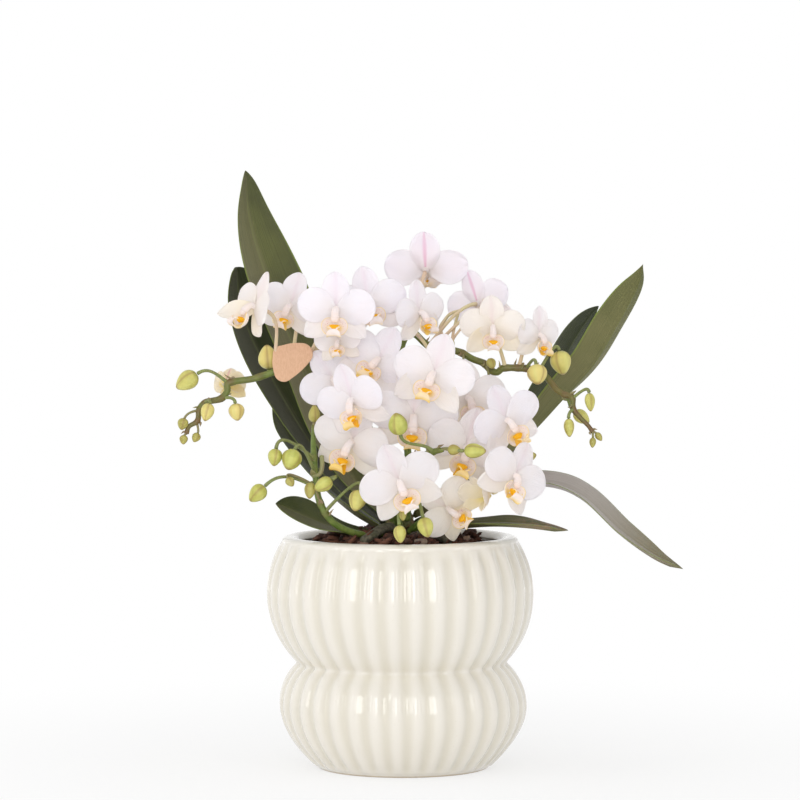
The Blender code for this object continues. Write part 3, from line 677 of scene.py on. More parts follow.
# %% The eight leaves: route, half width, facing at base and tip, fold, point, ripple, phase
LEAVES = {
    "leaf_1": ([(-6.6, 1, 121), (-22, 8, 137), (-36, 15, 160), (-47, 20, 188), (-57.5, 24, 215),
                (-68, 26, 243), (-74, 26, 266), (-75, 24, 287)],
               18.6, (0.5, -0.62, 0.6), (0.76, -0.65, 0.1), 20, 0.8, 0.7, 0.1),
    "leaf_2": ([(-7.2, 3, 117), (-24, 16, 131), (-43, 27, 153), (-60, 34, 180), (-73, 38, 205),
                (-79, 39, 224), (-80, 36, 240)],
               18.5, (0.5, -0.5, 0.6), (0.8, -0.6, 0.1), 20, 0.5, 0.6, 0.4),
    "leaf_3": ([(-5.3, 5.2, 113), (-24, 20, 123), (-42, 34, 139), (-56, 43, 158), (-62, 46, 178)],
               11.5, (0.6, -0.2, 0.8), (0.7, -0.6, 0.3), 18, 0.8, 0.5, 0.7),
    "leaf_4": ([(-6.9, -2.9, 110.8), (-22, -10, 113), (-36, -18, 118), (-48, -24, 123.5),
                (-59, -28, 129)],
               12.5, (0.2, -0.1, 1.0), (0.1, -0.65, 0.75), 16, 0.8, 0.4, 0.2),
    "leaf_5": ([(6.6, 1, 121), (28, 12, 131), (58, 18, 156), (78, 18, 177), (93, 17, 194),
                (104, 14, 213), (113, 11, 230), (117, 8, 242)],
               13.5, (-0.7, 0.1, 0.7), (-0.55, 0.8, 0.2), 20, 1.2, 0.5, 0.5),
    "leaf_6": ([(6.6, 3.6, 117), (27, 26, 123), (52, 44, 144), (73, 47, 178), (86, 42, 204),
                (97, 35, 221)],
               13.0, (-0.7, 0.0, 0.7), (-0.5, -0.6, 0.6), 18, 0.8, 0.4, 0.9),
    "leaf_7": ([(7.3, 0, 112.5), (28, -5, 127), (48, -10, 135.5), (70, -14, 137.5),
                (87, -18, 131.5), (105, -20, 115), (121, -20, 103.5), (135, -18, 97)],
               12.5, (-0.3, -0.1, 0.95), (0.35, -0.25, 0.88), 16, 0.9, 0.6, 0.3),
    "leaf_8": ([(7.3, -3, 110.5), (24, -15, 116.5), (42, -22, 119), (60, -24, 118.5),
                (80, -24, 116)],
               9.0, (-0.2, -0.1, 1.0), (0.0, -0.15, 1.0), 14, 0.8, 0.4, 0.6),
}
# painted sheen to the left and to the right of the midrib, painted shade, dry at the tip
LEAF_TONES = {
    "leaf_1": (0.2, 0.6, 0.0, 0.0), "leaf_2": (0.0, 0.45, 0.7, 0.0),
    "leaf_3": (0.25, 0.25, 0.35, 0.0), "leaf_4": (0.0, 0.45, 0.3, 0.0),
    "leaf_5": (0.24, 0.0, 0.0, 0.0), "leaf_6": (0.0, 0.0, 0.7, 0.0),
    "leaf_7": (1.0, 0.95, 0.0, 0.2), "leaf_8": (0.35, 0.3, 0.0, 0.9),
}
green_leaf = leaf_skin()
for name, shape in LEAVES.items():
    surface = leaf_surface(*shape)
    left, right, painted_shade, torn = LEAF_TONES[name]
    s, t = surface["place"][:, 0], surface["place"][:, 1]
    # painted sheen on each half, fading towards the tip; painted shade; the dry tip
    surface["tone"] = three(np.where(s < 0, left, right) * (1 - 0.4 * t**2), painted_shade,
                            torn * np.clip((t - 0.6) / 0.3, 0, 1))
    write_piece(name + "_blade", [(green_leaf, [surface])], "leaf_blade", name)
say("leaves", len(LEAVES))


# %% [markdown]
# ## Crown and roots
# The leaves clasp a short upright stem, sheath over sheath. Below it thick roots go down into
# the bark, and two have come up and over it. A root of this kind wears a spongy grey coat,
# lumpy along its length, that turns green where it is wet.

# %% Finishes for the crown and the roots
def crown_skin():
    """Green sheaths, finely streaked upwards, with dry brown patches."""
    f = Finish("crown_skin")
    streak = f.noise(f.where((1, 1, 0.15)), 620, 4)
    dry = f.noise(f.where(), 150, 3)
    colour = f.coats(rgb(86, 92, 44),
                     (f.between(streak, 0.35, 0.7), rgb(120, 122, 66)),
                     (f.between(dry, 0.5, 0.62, 0.0, 0.8), rgb(112, 84, 54)))
    return f.done(colour, f.between(dry, 0.3, 0.7, 0.4, 0.75), f.bump(streak, 0.0007, 0.8))


def root_skin():
    """A lumpy grey coat with olive patches."""
    f = Finish("root_skin")
    lump = f.noise(f.where(), 520, 4, 0.65)
    patch = f.noise(f.where(), 110, 3)
    colour = f.coats(rgb(70, 68, 54),
                     (f.between(lump, 0.35, 0.7), rgb(108, 104, 86)),
                     (f.between(patch, 0.48, 0.62, 0.0, 0.7), rgb(74, 78, 48)))
    return f.done(colour, f.between(patch, 0.3, 0.7, 0.55, 0.85), f.bump(lump, 0.0008, 0.9))


# %% Crown and aerial roots
CROWN_TOP, CROWN_FOOT = 127.0, 60.3
SHEATH_FOOT, SHEATH_STEP, SHEATH_RISE = 103, 4.2, 0.45
ROOTS = [
    ([(-1.2, -6.4, 109.4), (-4, -17, 116.5), (-9, -25, 116.5), (-15, -32, 113), (-18, -35, 111.6)],
     2.4),
    ([(2.2, -6.1, 109.4), (9, -17, 112.9), (19, -26, 112.8), (24, -30, 111.6)], 2.3),
]
crown_z = np.concatenate([[CROWN_FOOT, 85, 100], np.linspace(SHEATH_FOOT, 124, 43)])
crown_r = np.interp(crown_z, [60, 85, 101, 106, 110, 118, 124],
                    [8.2, 10.2, 10.0, 7.1, 6.5, 6.5, 4.6])
above = crown_z - SHEATH_FOOT
sheath = SHEATH_RISE * (1 - above / SHEATH_STEP % 1) * (above > 0)
turn = around(48)
crown_radius = (crown_r + sheath)[:, None]
crown_rings = three(crown_radius * (1 + 0.05 * np.cos(2 * turn)) * np.cos(turn),
                    crown_radius * np.sin(turn), crown_z[:, None])
roots = []
for route, thick in ROOTS:
    line = evenly(smooth_line(route, 121), 0.5)
    share = np.linspace(0, 1, len(line))
    lumps = ridges(three(share * 30, 0, 0), dice, 0.5)[:, None] * 0.08
    ring = 0.04 * ridges(three(share[:, None] * 60, np.arange(16) * 0.8, 0), dice, 0.5)
    taper = np.minimum(1, (1 - share) / 0.06 + 0.35) ** 0.5
    roots.append(tube(line, thick * 0.96 * taper, 16, relief=lumps + ring))
crown = skin(crown_rings, ends=(None, (0, 0, CROWN_TOP)))
write_piece("crown_and_roots", [(crown_skin(), [crown]), (root_skin(), roots)], "crown_stem",
            "crown")
say("crown and roots", 1)


# %% [markdown]
# ## How one flower is shaped
# A moth orchid's flower has three sepals behind two broad petals. Each is a thin blade: a flat
# oval section carried outwards from the flower's middle. Its half width swells along a quarter
# sine from a narrow claw to its widest place, and from there follows a rounded or a pointed
# end. Three terms bend it: one curls it along its length, one curls it across, and one ripples
# the rim.
#
# Blades are made standing up and facing the front, then leaned forward and turned like the
# hands of a clock.

# %% Sepals and petals
def flower_blade(length, width, widest, point, claw, bend, cup, ripple=0.0, phase=0.0,
                 thick=0.4, rows=22, sides=30):
    """A blade along +Z that faces -Y; returns its rings and its (across, along, face) shares.

    Half width: the claw plus the rest times sin(90 t / widest); past the widest place, times
    1 less the square of the share left, to the power point. Forward: bend times t squared, cup
    times the square of the distance across, and a ripple that grows towards the rim.
    """
    t = np.sin(np.linspace(0, math.pi / 2, rows + 1)[:-1])[:, None] ** 1.1
    before = np.sin(np.minimum(t / widest, 1) * math.pi / 2) ** 1.15
    q = np.clip((t - widest) / (1 - widest), 0, 1)
    wide = (claw + (0.5 * width - claw) * before) * (1 - q**2) ** point
    s, face = oval(sides)
    face = -face  # these points run the other way round, as the blade looks to the front
    rim = np.abs(s) ** 3 + q**3
    forward = (bend * t**2 + cup * s**2 * (2 * wide / width) ** 2
               + ripple * rim * np.sin(7 * s + 9 * t + phase) * np.minimum(1, 3 * wide / width)
               + 0.5 * thick * face * (1 - 0.45 * q**2) - 0.35 * np.exp(-((s / 0.12) ** 2)) * t)
    reach = length * (t - 0.10 * (s**2) * before * (1 - t))
    return three(s * wide, -forward, reach), three(s, t, face)


def hand(points, clock, lean):
    """Lean a blade forward by an angle, then turn it clockwise as seen from the front."""
    lean, clock = math.radians(lean), math.radians(clock)
    x, y, z = np.moveaxis(points, -1, 0)
    y, z = y * math.cos(lean) - z * math.sin(lean), z * math.cos(lean) + y * math.sin(lean)
    return three(x * math.cos(clock) + z * math.sin(clock), y,
                 z * math.cos(clock) - x * math.sin(clock))


# %% [markdown]
# The third petal is the lip, the most intricate part. Two side lobes stand up round the middle
# like cupped hands. Each is half of a bowl, a fan of sections that runs from below the middle up
# beside the column. Between them sits a bright two-horned callus, and in front of it a tongue
# runs out, turns up and ends in two curled whiskers. Above hangs the column, a short rod with
# a rounded cap.
#
# The tone of a lip's point says how yellow it is, how rosy, and how freckled.

# %% The lip's side lobes
LIP_MIDDLE, LIP_RADIUS = -5.9, 6.5


def side_lobe(sign, spread):
    """Half of a bowl: a fan round the lip's middle, from 6 to about 152 degrees from below.

    A section runs from the bowl's back to its rim, like a part of a circle seen from its side:
    the radius is the sine of an angle, and the depth is 1 less its cosine. The angle at the rim
    is full in the middle of the fan and falls to nothing at both of its ends.
    """
    t = 0.5 - 0.5 * np.cos(np.linspace(0.12, math.pi - 0.12, 22))[:, None]
    s, face = oval(26)
    round_way = np.radians(6 + (146 + spread) * t)
    rim = 68 * np.sin(math.pi * t**0.9) ** 0.45
    steep = np.radians(7 + (rim + 7) * (s + 1) / 2)
    radius = LIP_RADIUS * np.sin(steep) * (1 - 0.10 * t) + 0.2 * face
    depth = 2.8 + 5.6 * (1 - np.cos(steep)) + 0.5 * np.sin(9 * t) * np.clip(s, 0, 1)
    x, z = radius * np.sin(round_way), LIP_MIDDLE - 0.92 * radius * np.cos(round_way)
    rings = three(sign * x, -depth, z)
    inner = np.clip(-face, 0, 1)
    low = np.clip(1.2 - round_way / math.radians(85), 0, 1)
    gold = (0.7 * np.clip(0.45 - s, 0, 1) * low * (0.2 + 0.8 * inner)
            + 0.36 * np.clip((s - 0.75) / 0.25, 0, 1))
    mottled = inner * np.exp(-(((round_way - 1.75) / 0.62) ** 2)) * np.exp(-((s / 0.6) ** 2))
    tone = three(gold, 0.02 + 0.06 * inner * (1 - low), mottled)
    return skin(rings[:, ::sign], None, tone[:, ::sign])


# %% The callus and the tongue
def callus():
    """Two yellow knobs on one base: an egg whose radius grows at two places."""
    t = np.linspace(0.08, 0.92, 11)[:, None] * math.pi
    turn = around(20)
    swell = 1 + 0.30 * np.cos(2 * turn) * np.sin(t)
    x = 1.9 * np.sin(t) * np.cos(turn) * swell
    y = 2.0 * np.cos(t)
    z = 1.45 * np.sin(t) * np.sin(turn) + 0.55 * np.abs(x) / 1.9
    return skin(three(x, y - 6.2, z + LIP_MIDDLE - 1.3), None, (1.0, 0.0, 0.0))


def tongue(gold, curl):
    """The middle lobe: a channelled strap that runs out, turns up, and ends in two whiskers."""
    low = LIP_MIDDLE - 4.2
    line = smooth_line([(0, -3.6, low + 1.6), (0, -6.2, low + 0.1), (0, -8.8, low - 0.3),
                        (0, -10.6, low + 0.9), (0, -10.9 + curl, low + 2.9)], 24)
    t = np.linspace(0, 1, 24)[:, None]
    side = np.array([1.0, 0, 0])
    up = np.cross(side, unit(np.gradient(line, axis=0)))
    s, face = oval(22)
    half = np.interp(t, [0, 0.25, 0.5, 0.75, 0.9, 1], [1.2, 2.6, 3.3, 3.3, 2.6, 1.5])
    lift = 0.25 * face + 0.3 * half * s**2
    rings = line[:, None] + (s * half)[..., None] * side + up[:, None] * lift[..., None]
    edge = np.clip((np.abs(s) - 0.6) / 0.4, 0, 1) * np.clip(1.6 - 2 * t, 0, 1)
    shades = (gold * np.clip(np.clip(1.35 - 1.75 * t, 0, 1) + 0.5 * edge, 0, 0.8)
              + 1.2 * max(gold - 0.6, 0) * t)
    tone = three(np.clip(shades, 0, 0.9), 0.08, 0)
    parts = [skin(rings[:, ::-1], None, tone[:, ::-1])]
    share = np.linspace(0, 1, 12)
    for sign in (-1, 1):
        whisker = line[-1] + np.array([(sign * 0.9, 0.1, -0.4), (sign * 1.7, -0.1, 0.5),
                                       (sign * 2.5, 0.5, 0.9), (sign * 3.0, 1.4, 0.6)])
        parts.append(tube(smooth_line(whisker, 12), 0.4 - 0.14 * share, 8,
                          three(gold * (0.25 + 0.6 * share**2), 0.1, 0)))
    return parts


# %% The column
def column():
    """The rod over the lip, and its cap."""
    rod = smooth_line([(0, 1.0, 0.2), (0, -2.2, 0.8), (0, -4.4, -0.6), (0, -5.6, -2.6)], 14)
    share = np.linspace(0, 1, 14)
    body = tube(rod, 1.5 + 0.45 * share**2, 14, three(0.02, 0.03 + 0.17 * share, 0))
    t = np.linspace(0.1, 0.92, 9)[:, None] * math.pi
    turn = around(16)
    cap = three(1.85 * np.sin(t) * np.cos(turn), -6.0 + 1.4 * np.cos(t),
                -3.3 + 1.6 * np.sin(t) * np.sin(turn))
    return [body, skin(cap, None, (0.05, 0.25, 0))]


# %% [markdown]
# ## A whole flower
# One function puts the blades and the lip together. What makes twenty-four flowers differ is the
# way that they face, their size, how far they have opened, and their colour: some are cooler
# white, others creamier. The small differences come from dice with a fixed seed per flower.
#
# The tone of a petal's point says how yellow it is, how rosy, and how much of a pink streak runs
# along the midrib. Only the back of the upper sepal has the streak.

# %% Put a flower together
FLOWER_BACK, FLOWER_SPAN = 2.6, 38.0
# clock angle, length, width, share where it is widest, point, claw, and whether it is a petal
BLADES = ((0, 18.2, 13.2, 0.56, 0.60, 2.2, False), (130, 19.0, 11.6, 0.50, 0.72, 2.4, False),
          (230, 19.0, 11.6, 0.50, 0.72, 2.4, False), (78, 18.4, 16.8, 0.58, 0.50, 1.7, True),
          (282, 18.4, 16.8, 0.58, 0.50, 1.7, True))
UPPER_SEPAL, LOWER_SEPALS = 0, (130, 230)
FULL_SHUT = 60  # degrees that the blades of a closed flower still have to open
NO_LIP = 30  # past this opening the blades hide the lip, so it isn't made


def moved(surface, matrix, middle):
    """A surface turned and scaled by a matrix, then carried to its middle."""
    return {**surface, "points": surface["points"] @ matrix.T + middle}


def flower_surfaces(seed, opening, cream, gold, sepal_leans):
    """The flower's petal-skinned surfaces and its lip-skinned ones, 38 mm across, facing -Y.

    The two lower sepals also lean forward, each by its own angle.
    """
    luck = np.random.default_rng(seed)

    def about(value, spread):
        return value + luck.uniform(-spread, spread)

    shut = opening / FULL_SHUT
    petals = []
    for clock, length, width, widest, point, claw, is_petal in BLADES:
        rings, place = flower_blade(
            about(length, 0.6), about(width, 0.6) * (1 - 0.25 * shut), widest, point, claw,
            about(-1.6 if is_petal else -1.0, 1.3) + 7 * shut,
            about(-1.3 if is_petal else 0.8, 0.7) + 2.5 * shut,
            0.35, luck.uniform(0, 6))
        lean = about(5 if is_petal else 1, 4) + opening
        lean += dict(zip(LOWER_SEPALS, sepal_leans)).get(clock, 0)
        rings = hand(rings, about(clock, 4), lean)
        rings[..., 1] += -0.7 if is_petal else 0.5
        t, face = place[..., 1], place[..., 2]
        front, behind = np.clip(face, 0, 1), np.clip(-face, 0, 1)
        low = 0.42 if clock in LOWER_SEPALS else 0.0
        yellow = np.clip(cream * 0.8 + low * (1 - 0.6 * t) * (0.5 + cream)
                         + 0.12 * (1 - t) ** 3 + (0.8 - 0.6 * t) * shut * front, 0, 1)
        rosy = (0.08 if is_petal else 0.14) * behind * (1 - 0.5 * cream)
        streak = behind * (1 - 0.4 * t) if clock == UPPER_SEPAL else 0
        petals.append(skin(rings, place, three(yellow, rosy, streak)))
    if opening > NO_LIP:
        return petals, []
    lip = [side_lobe(-1, about(0, 5)), side_lobe(1, about(0, 5)), callus(),
           *tongue(gold, about(0, 0.8)), *column()]
    return petals, lip


# %% Petal skin and lip skin
def petal_skin():
    """Thin, satin and nearly white, with veins that fan out along the blade."""
    f = Finish("petal_skin")
    s, t, _ = f.given("place")
    yellow, rosy, streak = f.given("tone")
    off = f.sum("ABSOLUTE", s)
    veins = f.noise(f.along(f.times(s, 15.0), f.times(t, 2.2)), 1.0, 3, 0.6)
    cloud = f.noise(f.where(), 120, 2)
    midrib = f.between(off, 0.02, 0.22, 0.5, 0.0)
    colour = f.coats(rgb(252, 251, 255),
                     (f.between(cloud, 0.35, 0.65), rgb(252, 250, 253)),
                     (yellow, rgb(254, 244, 202)),
                     (f.between(yellow, 0.75, 1.0), rgb(253, 243, 168)),
                     (f.times(rosy, 0.7), rgb(232, 150, 184)),
                     (f.times(streak, midrib), rgb(228, 140, 186)),
                     (f.between(off, 0.9, 1.0, 0.0, 0.12), rgb(252, 236, 236)),
                     (f.between(veins, 0.5, 0.72, 0.0, 0.05), rgb(244, 226, 226)))
    glitter = f.noise(f.where(), 2600, 2)
    normal = f.bump(f.sum("MULTIPLY_ADD", glitter, 0.25, veins), 0.00035, 0.6)
    f.thin(colour, 0.5, Normal=normal)
    return f.done(colour, f.between(glitter, 0.3, 0.7, 0.42, 0.6), normal)


def lip_skin():
    """Waxy and translucent, yellow at the callus and freckled with purple inside."""
    f = Finish("lip_skin")
    gold, rosy, freckled = f.given("tone")
    cloud = f.noise(f.where(), 300, 2)
    spot = f.between(f.cells(1300), 0.18, 0.32, 1.0, 0.0)
    colour = f.coats(rgb(254, 251, 252),
                     (f.between(cloud, 0.35, 0.65), rgb(254, 248, 245)),
                     (f.times(rosy, 0.7), rgb(253, 228, 218)),
                     (f.between(gold, 0.0, 0.5), rgb(255, 234, 148)),
                     (f.between(gold, 0.45, 0.95), rgb(255, 212, 40)),
                     (f.times(spot, f.times(freckled, 0.85)), rgb(206, 134, 168)))
    normal = f.bump(cloud, 0.0003, 0.5)
    f.thin(colour, 0.5, Normal=normal)
    return f.done(colour, f.between(cloud, 0.3, 0.7, 0.28, 0.45), normal)


# %% [markdown]
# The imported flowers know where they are. A flower's back is its corner furthest behind it, and
# its middle lies a fixed way in front of that. So the table holds only how each one faces:
# turned to the right, nodding down, rolled to the right; its span; how far its blades still
# have to open; how creamy its petals are; and how golden its tongue is.

# %% The twenty-four flowers
FLOWERS = {
    "flower_01": (-62, -12, 10, 37, 0, 0.16, 0.3), "flower_02": (-22, 2, 12, 35, 0, 0.05, 0.6),
    "flower_03": (-4, 5, 2, 39, 0, 0.0, 0.5), "flower_04": (12, -5, -8, 38, 0, 0.0, 0.3),
    "flower_05": (42, 0, -8, 33, 0, 0.05, 0.6), "flower_06": (172, -20, 0, 42, 0, 0.0, 0.3),
    "flower_07": (150, 0, 18, 36, 0, 0.0, 0.3), "flower_08": (2, 8, 0, 33, 0, 0.25, 0.4),
    "flower_09": (45, 5, 5, 30, 0, 0.1, 0.8), "flower_10": (-28, 15, -15, 38, 0, 0.0, 0.9),
    "flower_11": (-10, 0, 16, 41, 0, 0.05, 0.8), "flower_12": (-8, -12, 30, 39, 0, 0.0, 0.8),
    "flower_13": (-25, 10, 18, 42, 0, 0.1, 1.0), "flower_14": (3, 15, 5, 44, 0, 0.05, 0.8),
    "flower_15": (4, 10, -25, 41, 0, 0.05, 0.3), "flower_16": (32, 8, -26, 38, 0, 0.0, 0.8),
    "flower_17": (32, 5, 30, 38, 0, 0.05, 0.6), "flower_18": (10, 12, 18, 41, 0, 0.1, 0.9),
    "flower_19": (15, 18, -60, 34, 0, 0.25, 0.7), "flower_20": (-50, 5, 0, 30, 38, 0.3, 1.0),
    "flower_21": (20, 0, 0, 41, 0, 0.1, 0.6), "flower_22": (170, 0, 0, 29, 42, 0.6, 1.0),
    "flower_23": (-6, 0, -40, 35.5, 0, 0.0, 0.6), "flower_24": (-14, 0, -5, 24, 0, 0.1, 0.6),
}
# how far forward the lower sepals of some of them lean, right and left
SEPAL_LEANS = {"flower_01": (0, 55), "flower_06": (50, 50), "flower_07": (30, 30)}


def facing(turn, nod, roll, span):
    """The matrix that turns and scales a flower made 38 mm across and facing -Y."""
    turns = Euler((math.radians(nod), math.radians(roll), math.radians(turn)), "YXZ")
    return np.array(turns.to_matrix()) * span / FLOWER_SPAN


def flower_middle(name, matrix):
    """The flower's middle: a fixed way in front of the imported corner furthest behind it."""
    behind = matrix @ (0, 1, 0)
    points = cad_points(name)
    return points[np.argmax(points @ behind)] - FLOWER_BACK * behind


white_petal, waxy_lip = petal_skin(), lip_skin()
stem_ends = {}  # where the own stem of each flower and bud ends, and the way it comes in
for seed, (name, (turn, nod, roll, span, opening, cream, gold)) in enumerate(FLOWERS.items()):
    matrix = facing(turn, nod, roll, span)
    middle = flower_middle(name, matrix)
    stem_ends[name] = (middle + matrix @ (0, FLOWER_BACK, 0), -unit(matrix @ (0, 1, 0)))
    petals, lip = flower_surfaces(seed, opening, cream, gold, SEPAL_LEANS.get(name, (0, 0)))
    groups = [(white_petal, petals)] + ([(waxy_lip, lip)] if lip else [])
    groups = [(material, [moved(s, matrix, middle) for s in group]) for material, group in groups]
    write_piece(name + "_bloom", groups, "petal_cream" if opening else "petal_white", name)
say("flowers", len(FLOWERS))


# %% [markdown]
# ## Buds
# A bud is three sepals folded shut: an egg, fullest below its middle, with a shallow groove
# where two sepals meet and a soft keel along each one. In formula, the radius round the axis is
# an egg's, less a narrow dip at every third of a turn. Young buds are green, older ones turn
# yellow, and the seams and the tip go brown.

# %% The bud surface and its finish
BUD_SIDE = (0.31, 0.94, 0.12)  # no bud points this way, so a direction square to both exists
BUD_SPIN = 0.37  # how much further each bud is turned about its axis than the one before


def bud_surface(middle, axis, length, width, ripe, brown, spin):
    """Rings along an axis: half width times sin to a power, less the dip of three seams."""
    t = np.linspace(0.02, 0.985, 24)[:, None]
    egg = np.sin(math.pi * t**0.82) ** 0.6 * (1.07 - 0.16 * t)
    turn = around(30)
    third = np.abs((turn * 3 / (2 * math.pi) + spin) % 1 - 0.5) * 2
    seam = np.exp(-(((1 - third) / 0.16) ** 2))
    keel = np.exp(-((third / 0.2) ** 2))
    radius = 0.5 * width * egg * (1 - 0.085 * seam + 0.03 * keel)
    side = unit(np.cross(axis, BUD_SIDE))
    up = np.cross(axis, side)
    line = np.array(middle) + (t - 0.5) * length * axis
    rings = line[:, None] + radius[..., None] * (np.cos(turn)[:, None] * side
                                                 + np.sin(turn)[:, None] * up)
    return skin(rings, three(seam, t, keel), (ripe, brown, 0))


def bud_skin():
    """Yellow-green and smooth, with pale keels, brown seams, a brown tip and a green foot."""
    f = Finish("bud_skin")
    seam, t, keel = f.given("place")
    ripe, brown, _ = f.given("tone")
    cloud = f.noise(f.where(), 240, 3)
    colour = f.coats(rgb(178, 182, 80),
                     (f.between(cloud, 0.3, 0.7), rgb(208, 208, 110)),
                     (ripe, rgb(243, 222, 140)),
                     (f.times(keel, 0.35), rgb(222, 226, 140)),
                     (f.times(seam, 0.55), rgb(152, 108, 72)),
                     (f.between(t, 0.88, 1.0, 0.0, 0.6), rgb(140, 96, 60)),
                     (f.between(t, 0.0, 0.16, 0.5, 0.0), rgb(120, 132, 60)),
                     (brown, rgb(146, 112, 70)))
    f.thin(colour, 0.12)
    return f.done(colour, f.between(cloud, 0.3, 0.7, 0.3, 0.5), f.bump(cloud, 0.00015, 0.5))


# %% The eighteen larger buds: lean to the right, nod to the front, how ripe
BUDS = {
    "bud_01": (-125, 0, 0.3), "bud_02": (195, 20, 0.7), "bud_03": (172, 10, 0.9),
    "bud_04": (-5, 0, 0.8), "bud_05": (187, 20, 0.1), "bud_06": (200, 25, 0.0),
    "bud_07": (225, 10, 0.1), "bud_08": (240, 10, 0.1), "bud_09": (195, 20, 0.4),
    "bud_10": (-12, 30, 0.0), "bud_11": (90, 10, 0.1), "bud_12": (175, 15, 0.3),
    "bud_13": (165, 25, 0.2), "bud_14": (175, 25, 0.8), "bud_15": (170, 5, 0.5),
    "bud_16": (175, 10, 0.3), "bud_17": (178, 15, 0.3), "bud_18": (128, 0, 0.3),
}


def axis_of(lean, nod):
    """A direction that leans to the right of upright and nods to the front."""
    lean, nod = math.radians(lean), math.radians(nod)
    return np.array([math.sin(lean) * math.cos(nod), -math.sin(nod),
                     math.cos(lean) * math.cos(nod)])


def measured(name, axis):
    """The middle, length and width of a packed bud, read along its axis and across it."""
    side = unit(np.cross(axis, BUD_SIDE))
    ways = np.stack([axis, side, np.cross(axis, side)])
    reach = cad_points(name) @ ways.T
    low, high = reach.min(axis=0), reach.max(axis=0)
    return ways.T @ (low + high) / 2, high[0] - low[0], (high - low)[1:].max()


green_bud = bud_skin()
for number, (name, (lean, nod, ripe)) in enumerate(BUDS.items()):
    axis = axis_of(lean, nod)
    middle, length, width = measured(name, axis)
    stem_ends[name] = (middle - 0.5 * length * axis, axis)
    bud = bud_surface(middle, axis, length, width, ripe, 0, number * BUD_SPIN)
    write_piece(name + "_shut", [(green_bud, [bud])], "bud_skin", name)
say("buds", len(BUDS))


# %% [markdown]
# ## Flower stalks
# Each stalk is a tube that thins towards its tip and swells a little at every node. From a node
# a flower or a bud grows out on a stem of its own, with a dry pointed bract below it. The own
# stem is a cubic curve: it leaves the stalk slanting upwards and comes in along the way that
# the flower or bud faces. The youngest buds at the tips belong to their stalk.

# %% Routes of the stalks, with their radius at the foot and at the tip
THIN_SHARE, THIN_RADIUS = 0.85, 0.88
NODE_LENGTH, NODE_RISE = 1.6, 0.25
SPIKES = {
    "flower_spike_1": ([(-3.4, -7.9, 119.5), (-8, -13, 140), (-15, -15, 165), (-26, -16, 186),
                        (-38, -18, 196), (-50, -20, 194), (-62, -21, 190.4), (-70, -22, 187.9),
                        (-81, -23, 186.1), (-82, -24, 182), (-85, -25, 178.6), (-92, -27, 177),
                        (-95, -28, 173.8), (-95.8, -29, 168.4), (-99.7, -30, 165.8),
                        (-101, -30.5, 162.5)], 1.8, 1.0),
    "flower_spike_2": ([(-4.1, -5.6, 113.5), (-18, -24, 114), (-31, -33, 120), (-38, -37, 131),
                        (-40, -34, 144), (-41, -28, 157), (-41, -26, 166)], 1.7, 0.9),
    "flower_spike_3": ([(3.4, -7.9, 119.5), (4, -9, 148), (1, -6, 176), (0, -4, 196),
                        (2, -4, 206), (6.5, -4, 209), (14.4, -4, 202.6), (27.3, -5, 200.4),
                        (34.8, -6, 196.7), (40, -7, 194.7), (43.6, -8, 191.3), (46.5, -9, 190.5),
                        (50, -10, 192.6), (61, -11, 192.3), (66, -12, 191), (70.1, -14, 188),
                        (74.4, -17, 182.7), (78, -19, 180.3), (81.8, -21, 179), (82.3, -23, 173.6),
                        (85.6, -24.5, 169.5), (89.2, -26, 165.9), (91.2, -27, 163)], 1.8, 0.95),
    "flower_spike_4": ([(0, -8.4, 115.5), (-2, -22, 126), (2, -34, 140), (9, -43, 151),
                        (16, -50, 155), (20, -53, 156)], 2.0, 1.0),
    "flower_spike_5": ([(4.8, -6.5, 114), (16, -17, 124), (28, -24, 136), (40, -28, 146),
                        (50, -31, 151), (56, -34, 152)], 2.0, 1.0),
}
# How brown each stalk turns by its tip
BROWNING = {"flower_spike_1": 0.6, "flower_spike_2": 0.1, "flower_spike_3": 0.9,
            "flower_spike_4": 0.1, "flower_spike_5": 0.3}
# Stems whose flowers have dropped, or that fork off, each with its radius
SIDE_STEMS = {
    "flower_spike_2": [([(-41.4, -35.5, 142.5), (-38, -35, 143.4), (-36.8, -34.5, 147),
                         (-37, -33, 152)], 1.1)],
    "flower_spike_3": [([(12.5, -3, 203.6), (19.7, -2, 207.1), (19.2, -1, 211.4), (21.2, 1, 214.8),
                         (24.3, 4, 218.1), (29.3, 7, 219.6)], 0.8),
                       ([(13.5, -4, 203.4), (20, -4, 206.6), (26, -2, 212), (31, 2, 216.4)], 0.8),
                       ([(24.4, -5, 201.5), (25, -4, 206.1), (26, -1, 211.4), (27.9, 4, 218.1)],
                        0.7),
                       ([(25.2, -5, 201.5), (25.5, -4, 206.1), (29.3, -2, 211.4),
                         (30.3, 2, 214.3)], 0.6)],
}
print(f"{len(SPIKES)} stalks and {sum(map(len, SIDE_STEMS.values()))} side stems")


